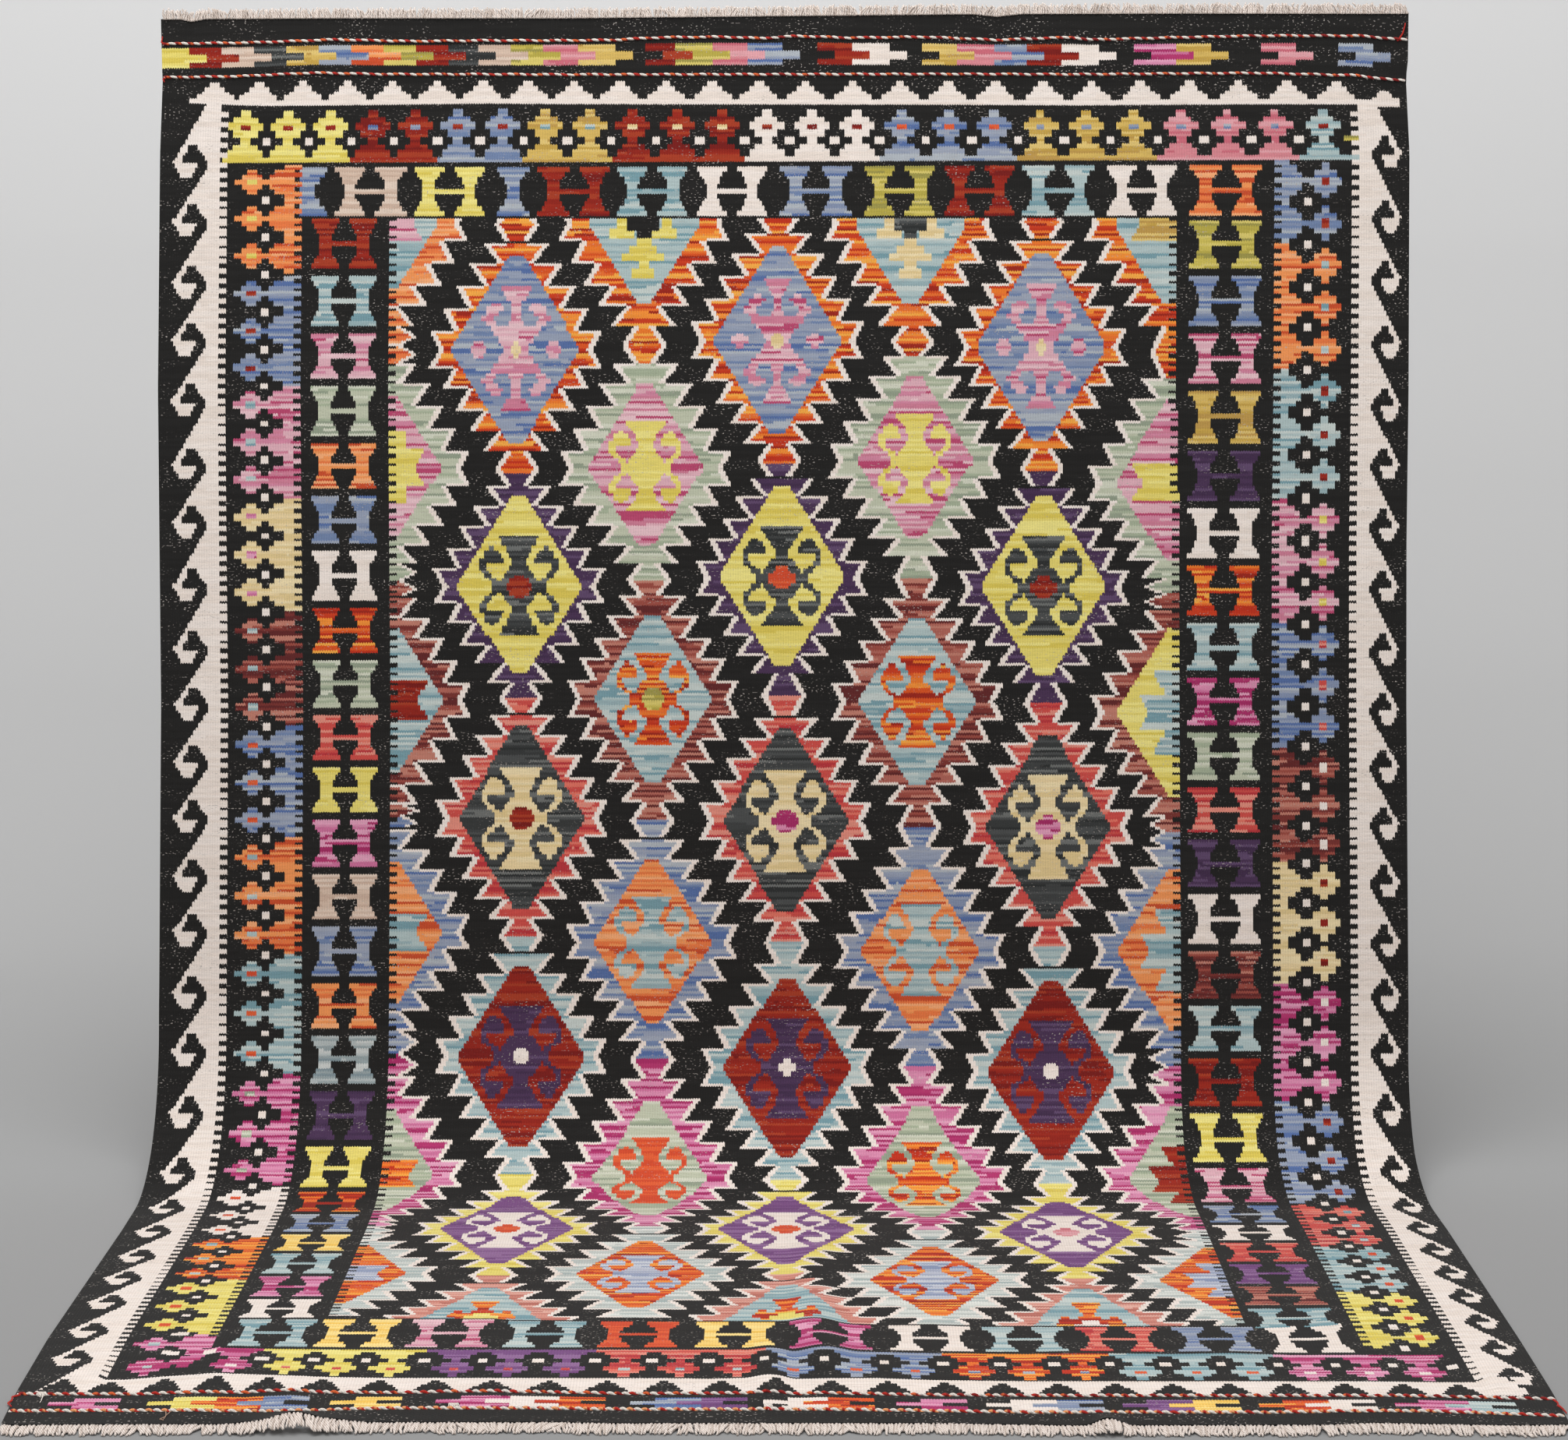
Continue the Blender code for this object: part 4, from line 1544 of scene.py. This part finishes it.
@dataclass
class WovenCloth:
    """The rug's cloth, as tiles that share the drape and the chart."""

    drape: Drape
    drift: Drift
    chart: Chart
    tiles_across: int = 2
    tiles_along: int = 3
    rows_a_face: int = 4
    smooth: float = math.radians(40.0)
    dyes: np.ndarray = field(init=False)

    def __post_init__(self) -> None:
        """Dye the chart's cells."""
        self.dyes = self.chart.dyed()

    def grid(self, name: str, columns: int, faces: int) -> bpy.types.Object:
        """Add a flat tile of one face for each column and few rows, with a wall.

        Args:
            name: The tile's name.
            columns: Its columns.
            faces: Its faces from top to bottom.

        Returns:
            The tile, whose back is a cloth's thickness behind its face.
        """
        deselect()
        bpy.ops.mesh.primitive_grid_add(x_subdivisions=columns, y_subdivisions=faces, size=2.0)
        tile = bpy.context.active_object
        tile.name = tile.data.name = name
        tile.data.uv_layers[0].name = "OFBake"
        width, height = columns * CELL, faces * self.rows_a_face * CELL
        points = points_of(tile.data)
        move_points(tile.data, points * (width / 2, height / 2, 1.0) + (width / 2, -height / 2, 0.0))
        wall = tile.modifiers.new("wall", "SOLIDIFY")
        wall.thickness = self.drape.thickness
        wall.offset = -1.0
        bpy.ops.object.modifier_apply(modifier=wall.name)
        return tile

    def colour(self, mesh: bpy.types.Mesh, first_column: int, first_face: int, columns: int, faces: int) -> None:
        """Give a flat tile the chart's colours.

        Args:
            mesh: The tile's mesh, with its top left corner at the origin.
            first_column: Chart column of its first one.
            first_face: Faces above it in the rug.
            columns: Its columns.
            faces: Its faces from top to bottom.
        """
        height = self.rows_a_face * CELL
        centres = read_vectors(mesh.polygons, "center")
        column = np.clip(np.floor(centres[:, 0] / CELL), 0, columns - 1).astype(int)
        face = np.clip(np.floor(-centres[:, 1] / height), 0, faces - 1).astype(int)
        solid = np.ones((len(face), 1))
        for row in range(self.rows_a_face + 1):
            rows = np.minimum((first_face + face) * self.rows_a_face + row, ROWS - 1)
            dyes = self.dyes[rows, first_column + column]
            add_attribute(mesh, f"row_{row}", "FLOAT_COLOR", "FACE", np.hstack([dyes, solid]))
        points = points_of(mesh)
        corners, sizes = read_numbers(mesh.loops, "vertex_index"), read_numbers(mesh.polygons, "loop_total")
        weft = -points[corners, 1] / CELL - np.repeat(face, sizes) * self.rows_a_face
        add_attribute(mesh, "weft", "FLOAT", "CORNER", weft)
        cloth = points * (1, -1, 1) + (first_column * CELL, first_face * height, 0.0)
        add_attribute(mesh, "cloth", "FLOAT_VECTOR", "POINT", cloth)

    def lay(self, mesh: bpy.types.Mesh) -> None:
        """Move a coloured tile's points to where the cloth hangs."""
        cloth = read_vectors(mesh.attributes["cloth"].data, "vector")
        side = cloth[:, 0] / (COLUMNS * CELL) * 2 - 1
        along = cloth[:, 1] + self.drift.shift(cloth[:, 0] / CELL, cloth[:, 1] / CELL) * CELL
        move_points(mesh, self.drape.place(side, along, cloth[:, 2] + self.drape.thickness))

    def build(self) -> None:
        material = WovenWool(self.rows_a_face).material()
        columns = COLUMNS // self.tiles_across
        faces = ROWS // self.rows_a_face // self.tiles_along
        size = (columns * CELL, faces * self.rows_a_face * CELL)
        for number in range(self.tiles_across * self.tiles_along):
            down, across = divmod(number, self.tiles_across)
            tile = self.grid(f"woven_cloth_{number + 1}", columns, faces)
            self.colour(tile.data, across * columns, down * faces, columns, faces)
            self.lay(tile.data)
            choose(tile)
            bpy.ops.object.shade_smooth_by_angle(angle=self.smooth)
            dress(tile, material, CLOTH_NODE)


# ---------------------------------------------------------------------------
# Twined lines, fringes
# ---------------------------------------------------------------------------


@dataclass
class Cord:
    """Yarn of round section that follows lines of points."""

    floor: float = 0.0002

    def build(self, name: str, lines: Sequence[np.ndarray], radii: Sequence[np.ndarray]) -> bpy.types.Object:
        """Build closed cords as one piece.

        Args:
            name: The piece's name.
            lines: The points of each cord's middle.
            radii: The radius at each point.

        Returns:
            The piece, which stays above the floor.
        """
        data = bpy.data.curves.new(name, "CURVE")
        data.dimensions = "3D"
        data.bevel_depth, data.bevel_resolution = 1.0, 1
        data.use_fill_caps = True
        for line, radius in zip(lines, radii):
            raised = np.column_stack([line, np.ones(len(line))])
            raised[:, 2] = np.maximum(raised[:, 2], radius + self.floor)
            spline = data.splines.new("POLY")
            spline.points.add(len(line) - 1)
            spline.points.foreach_set("co", raised.ravel())
            spline.points.foreach_set("radius", radius)
        made = bpy.data.objects.new(name, data)
        bpy.context.scene.collection.objects.link(made)
        choose(made)
        bpy.ops.object.convert(target="MESH")
        made = bpy.context.active_object
        made.data.name = name
        bpy.ops.object.mode_set(mode="EDIT")
        bpy.ops.mesh.select_all(action="SELECT")
        bpy.ops.mesh.remove_doubles(threshold=0.00001)
        bpy.ops.mesh.normals_make_consistent(inside=False)
        bpy.ops.object.mode_set(mode="OBJECT")
        bpy.ops.object.shade_smooth()
        return made


WHITE_WOOL = (0.72, 0.66, 0.60, 1.0)
RED_WOOL = (0.42, 0.022, 0.014, 1.0)
DARK_RED_WOOL = (0.24, 0.014, 0.012, 1.0)
ORANGE_WOOL = (0.62, 0.11, 0.03, 1.0)
PALE_ORANGE_WOOL = (0.74, 0.30, 0.12, 1.0)
BROWN_WOOL = (0.40, 0.26, 0.19, 1.0)
UNDYED_WOOL = (0.75, 0.66, 0.60, 1.0)
# Painted shade: darker wool that the fringes mix in as stripes, for the shaded gaps between their locks.
SHADED_GAP_WOOL = (0.58, 0.49, 0.43, 1.0)


@dataclass
class TwinedLine:
    """Two yarns, one white and one red, twisted round each other across the rug."""

    drape: Drape
    drift: Drift
    name: str
    row: float
    reds: Sequence[Colour] = (RED_WOOL, DARK_RED_WOOL, ORANGE_WOOL)
    period: float = 0.0242
    height: float = 0.0008
    depth: float = 0.0024
    radius: float = 0.0027
    steps: int = 12

    def build(self) -> None:
        """Build both yarns and dress them."""
        width = COLUMNS * CELL
        count = int(width / self.period * self.steps)
        across = np.linspace(-0.998, 0.998, count)
        column = (across + 1) / 2 * COLUMNS
        row = self.row + self.drift.shift(column, np.full(count, self.row)) + 0.12 * np.sin(column * 0.41 + self.row)
        for ply, colours in enumerate(((WHITE_WOOL,), self.reds)):
            turn = across * width / 2 / self.period * math.tau + ply * math.pi
            turn = turn + 0.35 * np.sin(column * 0.23 + self.row)
            above = self.drape.thickness - 0.0004 + np.sin(turn) * self.depth
            line = self.drape.place(across, row * CELL - np.cos(turn) * self.height, above)
            name = f"{self.name}_{('white', 'red')[ply]}"
            yarn = Cord().build(name, [line], [self.radius * (0.85 + 0.15 * np.sin(turn))])
            dress(yarn, TwistedYarn(name, colours).material(), CLOTH_NODE)


@dataclass
class LooseEnds:
    """Stray ends of yarn that stick out of the weave and the selvedges.

    Attributes:
        drape: The cloth's shape.
        name: The piece's name.
        colours: Colours of its yarn.
        strands: The places that each strand passes: (column, row, millimetres above the cloth).
        radius: Radius of a strand.
    """

    drape: Drape
    name: str
    colours: Sequence[Colour]
    strands: Sequence[Sequence[tuple[float, float, float]]]
    radius: float = 0.0011

    def build(self) -> None:
        """Build the ends as one piece and dress it."""
        lines, radii = [], []
        for strand in self.strands:
            share = np.linspace(0.0, 1.0, 9)
            stops = np.linspace(0.0, 1.0, len(strand))
            column, row, above = (np.interp(share, stops, part) for part in np.array(strand).T)
            side = (column + 0.12 * np.sin(share * 9)) / COLUMNS * 2 - 1
            lines.append(self.drape.place(side, row * CELL, self.drape.thickness + above / 1000))
            radii.append(self.radius * (1.0 - 0.5 * share))
        piece = Cord().build(self.name, lines, radii)
        dress(piece, TwistedYarn(self.name, self.colours).material(), CLOTH_NODE)

    @staticmethod
    def tuft(column: float, row: float, width: float, height: float) -> list[list[tuple[float, float, float]]]:
        """Return the strands of a small tuft.

        Args:
            column: Column of its middle.
            row: Row from which it hangs.
            width: Columns that its ends spread over.
            height: Rows that it reaches down.

        Returns:
            Its strands.
        """
        strands = []
        for step in np.linspace(-1.0, 1.0, 9):
            side, reach = step * width / 2, height * (1.0 - 0.35 * abs(step))
            bend = (column + side * 0.8, row + reach * 0.5, 4.0)
            strands.append([(column + side * 0.3, row, 0.5), bend, (column + side, row + reach, 1.5)])
        return strands


@dataclass
class Fringe:
    """Short twisted locks of warp yarn along one end of the rug.

    Attributes:
        drape: The cloth's shape.
        drift: How its ends wander.
        node: The node that it stands for.
        name: The piece's name.
        at_front: Whether it is at the end that lies on the floor.
        locks: Locks in a layer.
        layers: Layers of locks.
        length: Length of a lock.
        radius: Radius of a lock.
        lean: How far groups of locks lean aside.
        gather: How far the locks of a group come together at their ends.
        knot: How much thicker a lock is at its root.
        rings: Points along a lock.
        inset: How far inside the cloth a lock begins.
        shrink: Share of the cloth's lift by which a lock's end falls back to the floor.
        seed: Start of its unevenness.
    """

    drape: Drape
    drift: Drift
    node: str
    name: str
    at_front: bool
    locks: int = 470
    layers: int = 2
    length: float = 0.022
    radius: float = 0.0024
    lean: float = 0.003
    gather: float = 0.3
    knot: float = 0.0
    rings: int = 7
    inset: float = 0.0012
    shrink: float = 0.45
    seed: int = 5

    def lock(
        self, side: float, lean: float, layer: int, rng: np.random.Generator
    ) -> tuple[np.ndarray, np.ndarray]:
        """Return one lock's middle line and radii.

        Args:
            side: Its place across the rug, -1 to 1.
            lean: How far its end leans aside, in the same measure.
            layer: Its layer, 0 for the one behind.
            rng: Source of its unevenness.

        Returns:
            Its points and its radii.
        """
        share = np.linspace(0.0, 1.0, self.rings)
        length = self.length * rng.uniform(0.82, 1.1) * (1.0 - 0.12 * layer)
        wave = rng.uniform(0, math.tau)
        sideways = lean * share**1.3 + 0.0008 / self.drape.half_width * np.sin(share * 7 + wave)
        column = np.array([(side + 1) / 2 * COLUMNS])
        root = float(self.drift.shift(column, np.array([float(ROWS) if self.at_front else 0.0]))[0]) * CELL
        out = share * length - self.inset
        if self.at_front:
            along = self.drape.length + root + out
            high = self.drape.thickness * 0.6 + 0.0026 * layer
            above = high + (self.radius - high) * share * 0.5 + 0.003 * np.sin(share * math.pi) * rng.uniform(0, 1)
        else:
            along = root - out
            above = self.drape.thickness * 0.5 + 0.0022 * layer + 0.0015 * share * rng.normal(0, 1)
        line = self.drape.place(side + sideways, along, above)
        if self.at_front:
            droop = self.drape.lift(line[:, 0], np.full(len(line), self.drape.length))
            line[:, 2] -= self.shrink * droop * share
        radii = self.radius * (0.92 + 0.12 * np.sin(share * 16 + wave) - 0.35 * share**3)
        radii[0] *= 1.0 + self.knot
        return line, radii * rng.uniform(0.85, 1.12)

    def leans(self, sides: np.ndarray, rng: np.random.Generator) -> np.ndarray:
        """Return how far each lock leans, a few neighbours the same way and towards each other."""
        group = np.cumsum(rng.random(len(sides)) < 0.22)
        lean = rng.normal(0.0, self.lean / self.drape.half_width, group[-1] + 1)
        middles = np.bincount(group, sides) / np.maximum(np.bincount(group), 1)
        return lean[group] + (middles[group] - sides) * self.gather

    def build(self, colours: Sequence[Colour]) -> None:
        """Build all locks as one piece and dress it in yarn of some colours."""
        rng = np.random.default_rng(self.seed)
        lines, radii = [], []
        for layer in range(self.layers):
            sides = np.linspace(-0.996, 0.996, self.locks) + layer * 0.9 / self.locks
            sides = np.clip(sides + rng.normal(0, 0.0005, self.locks), -0.998, 0.998)
            for side, lean in zip(sides, self.leans(sides, rng)):
                line, radius = self.lock(side, lean, layer, rng)
                lines.append(line)
                radii.append(radius)
        fringe = Cord().build(self.name, lines, radii)
        # The grooves between its strands carry painted shade.
        yarn = TwistedYarn(f"{self.name}_yarn", colours, run=0.005, lay=0.004, groove_shade=0.6)
        dress(fringe, yarn.material(), self.node)


# ---------------------------------------------------------------------------
# Camera, floor and lights
# ---------------------------------------------------------------------------


@dataclass
class Studio:
    """A pale floor that sweeps up behind the rug, soft lights and the camera.

    Attributes:
        camera_place: Where the camera stands.
        camera_tilt: How far it looks down.
        lens: Its focal length.
        shift: Its vertical shift.
        wall: How far behind the rug the floor turns up.
        turn: Radius of that turn.
        top: Height of the sweep.
        half_width: Half its width.
        near: How far it runs in front of the rug.
        steps: Faces round its turn.
        tones: Grey of the sweep, darker in front and paler up its back, a painted fall of light: (distance back plus
            height, tone).
        world_light: Strength of the light from all round.
        top_light: Power of the soft light overhead.
    """

    camera_place: tuple[float, float, float] = (0.0, -5.0191, 1.8816)
    camera_tilt: float = 0.10624
    lens: float = 65.22
    shift: float = -0.12
    wall: float = 3.7
    turn: float = 1.8
    top: float = 6.0
    half_width: float = 9.0
    near: float = -9.0
    steps: int = 24
    tones: Sequence[tuple[float, float]] = (
        (-1.0, 0.24), (0.5, 0.316), (1.7, 0.4), (2.3, 0.437), (2.9, 0.461), (3.7, 0.494), (4.7, 0.59),
        (5.6, 0.73), (6.3, 0.777),
    )
    world_light: float = 0.85
    top_light: float = 190.0

    def profile(self) -> list[tuple[float, float]]:
        """Return the line of the sweep's back: (distance back, height)."""
        start, angles = self.wall - self.turn, np.linspace(0.0, math.pi / 2, self.steps + 1)
        curve = [(start + self.turn * math.sin(angle), self.turn * (1.0 - math.cos(angle))) for angle in angles]
        return [*curve, (self.wall, self.top)]

    def sweep(self) -> None:
        """Make the floor with its upturned back."""
        line = self.profile()
        deselect()
        bpy.ops.mesh.primitive_plane_add(size=2.0)
        floor = bpy.context.active_object
        floor.name = "floor"
        corners = points_of(floor.data) * (self.half_width, 0.0, 0.0)
        corners[:, 1] = np.where(points_of(floor.data)[:, 1] > 0, line[0][0], self.near)
        move_points(floor.data, corners)
        bpy.ops.object.mode_set(mode="EDIT")
        bpy.ops.mesh.select_mode(type="VERT")
        bpy.ops.mesh.select_all(action="DESELECT")
        bpy.ops.object.mode_set(mode="OBJECT")
        for vertex in floor.data.vertices:
            vertex.select = vertex.co.y > 0
        bpy.ops.object.mode_set(mode="EDIT")
        for last, here in zip(line, line[1:]):
            move = {"value": (0.0, here[0] - last[0], here[1] - last[1])}
            bpy.ops.mesh.extrude_region_move(TRANSFORM_OT_translate=move)
        bpy.ops.object.mode_set(mode="OBJECT")
        bpy.ops.object.shade_smooth()
        tree = NodeTree("floor")
        _, back, up = tree.split(tree.node("ShaderNodeTexCoord", output="Object"))
        # Painted light: the grey brightens with distance back and height, as the studio's light falls off towards the
        # front.
        reach = back + up
        grey = reach * 0.0 + self.tones[0][1]
        for (near, dark), (far, pale) in zip(self.tones, self.tones[1:]):
            share = ((reach - near) / (far - near)).math("MAXIMUM", 0.0).math("MINIMUM", 1.0)
            grey = grey + share * (pale - dark)
        floor.data.materials.append(tree.finish(tree.vector(grey, grey, grey), 0.95, specular_ior_level=0.1))

    def build(self) -> None:
        """Make the floor, the camera and the lights."""
        self.sweep()
        data = bpy.data.cameras.new("camera")
        data.lens, data.sensor_width, data.shift_y = self.lens, 36.0, self.shift
        camera = bpy.data.objects.new("camera", data)
        camera.location = self.camera_place
        camera.rotation_euler = (math.pi / 2 - self.camera_tilt, 0.0, 0.0)
        bpy.context.scene.collection.objects.link(camera)
        bpy.context.scene.camera = camera
        bpy.context.scene.view_settings.view_transform = "Standard"
        world = bpy.data.worlds.new("studio")
        world.use_nodes = True
        world.node_tree.nodes["Background"].inputs[0].default_value = (1.0, 1.0, 1.0, 1.0)
        world.node_tree.nodes["Background"].inputs[1].default_value = self.world_light
        bpy.context.scene.world = world
        self.lamp("overhead", (-0.6, -1.5, 5.4), (0.0, -0.3, 0.6), 4.0, self.top_light)

    @staticmethod
    def lamp(name: str, place: Sequence[float], target: Sequence[float], size: float, power: float) -> None:
        """Add a square soft light.

        Args:
            name: Its name.
            place: Where it stands.
            target: What it faces.
            size: Its side.
            power: Its power in watts.
        """
        data = bpy.data.lights.new(name, "AREA")
        data.size, data.energy = size, power
        lamp = bpy.data.objects.new(name, data)
        lamp.location = place
        away = Vector(place) - Vector(target)
        lamp.rotation_euler = away.to_track_quat("Z", "Y").to_euler()
        bpy.context.scene.collection.objects.link(lamp)


# Strands of loose yarn: for each the places (column, row, millimetres above the cloth) that it passes.
RED_ENDS = (
    ((495.5, 10.0, 1.0), (497.8, 7.0, 3.0), (498.6, 3.0, 1.5)),
    ((1.5, 9.6, 0.5), (0.2, 8.6, 2.0), (0.4, 6.2, 1.0)),
    ((1.5, 22.6, 0.5), (0.3, 23.6, 1.5), (0.6, 24.8, 1.0)),
    ((1.6, 664.6, 0.5), (-0.4, 666.8, 1.5), (-0.2, 669.0, 1.0)),
    ((-0.2, 669.0, 1.0), (-0.8, 671.5, 1.0), (0.6, 674.0, 0.5)),
    ((498.6, 668.0, 0.5), (499.8, 671.0, 1.0), (499.4, 674.0, 0.5)),
    ((499.2, 673.0, 0.5), (500.4, 676.0, 1.0), (500.6, 679.0, 0.5)),
)
BROWN_THREAD = (
    ((50.6, 677.0, 0.5), (51.6, 680.0, 2.0), (51.4, 682.0, 1.0)),
    ((51.4, 682.0, 1.0), (50.2, 684.0, 1.5), (51.4, 684.6, 1.0)),
    ((52.4, 677.6, 0.5), (52.0, 681.0, 2.5), (51.0, 684.2, 0.5)),
)
WHITE_END = ((8.5, 663.0, 1.0), (9.6, 667.0, 3.0), (9.2, 671.0, 1.0))
# White tufts: (column, row, columns that the ends spread over, rows that they reach down).
TUFTS = ((143.2, 671.4, 3.6, 4.4), (244.6, 672.4, 2.8, 4.6), (250.2, 674.0, 2.4, 3.6), (8.6, 662.6, 3.4, 4.6))


def build_yarn_work(drape: Drape, drift: Drift) -> None:
    """Build the twined lines, the loose ends and both fringes."""
    for name, row in (("twined_top_outer", 8.3), ("twined_top_inner", 22.2), ("twined_front_inner", 663.5)):
        TwinedLine(drape, drift, name, row).build()
    TwinedLine(drape, drift, "twined_front_outer", 677.5, (PALE_ORANGE_WOOL, RED_WOOL, PALE_ORANGE_WOOL)).build()
    LooseEnds(drape, "loose_red_ends", (RED_WOOL, ORANGE_WOOL), RED_ENDS, 0.0022).build()
    white = [strand for tuft in TUFTS for strand in LooseEnds.tuft(*tuft)] + [WHITE_END]
    LooseEnds(drape, "loose_white_tufts", (WHITE_WOOL,), white, 0.0013).build()
    LooseEnds(drape, "loose_brown_thread", (BROWN_WOOL,), BROWN_THREAD, 0.0009).build()
    # Each fringe mixes in darker stripes as painted shade of the gaps between its locks.
    top = Fringe(drape, drift, "fringe_top", "top_fringe", at_front=False, locks=470, length=0.021, knot=0.35)
    top.build((UNDYED_WOOL, SHADED_GAP_WOOL, UNDYED_WOOL))
    front = Fringe(
        drape, drift, "fringe_bottom", "front_fringe", at_front=True, locks=417, length=0.031, radius=0.0029,
        lean=0.0035, seed=8,
    )
    front.build((UNDYED_WOOL, UNDYED_WOOL, SHADED_GAP_WOOL))


def main() -> None:
    """Build the rug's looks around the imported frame."""
    logging.basicConfig(level=logging.INFO, format="%(name)s: %(message)s")
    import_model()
    drape, drift, chart = Drape(), Drift(), Chart()
    for band in RUG_BANDS:
        band.weave(chart)
    WovenCloth(drape, drift, chart).build()
    build_yarn_work(drape, drift)
    Studio().build()


if __name__ == "__main__":
    main()
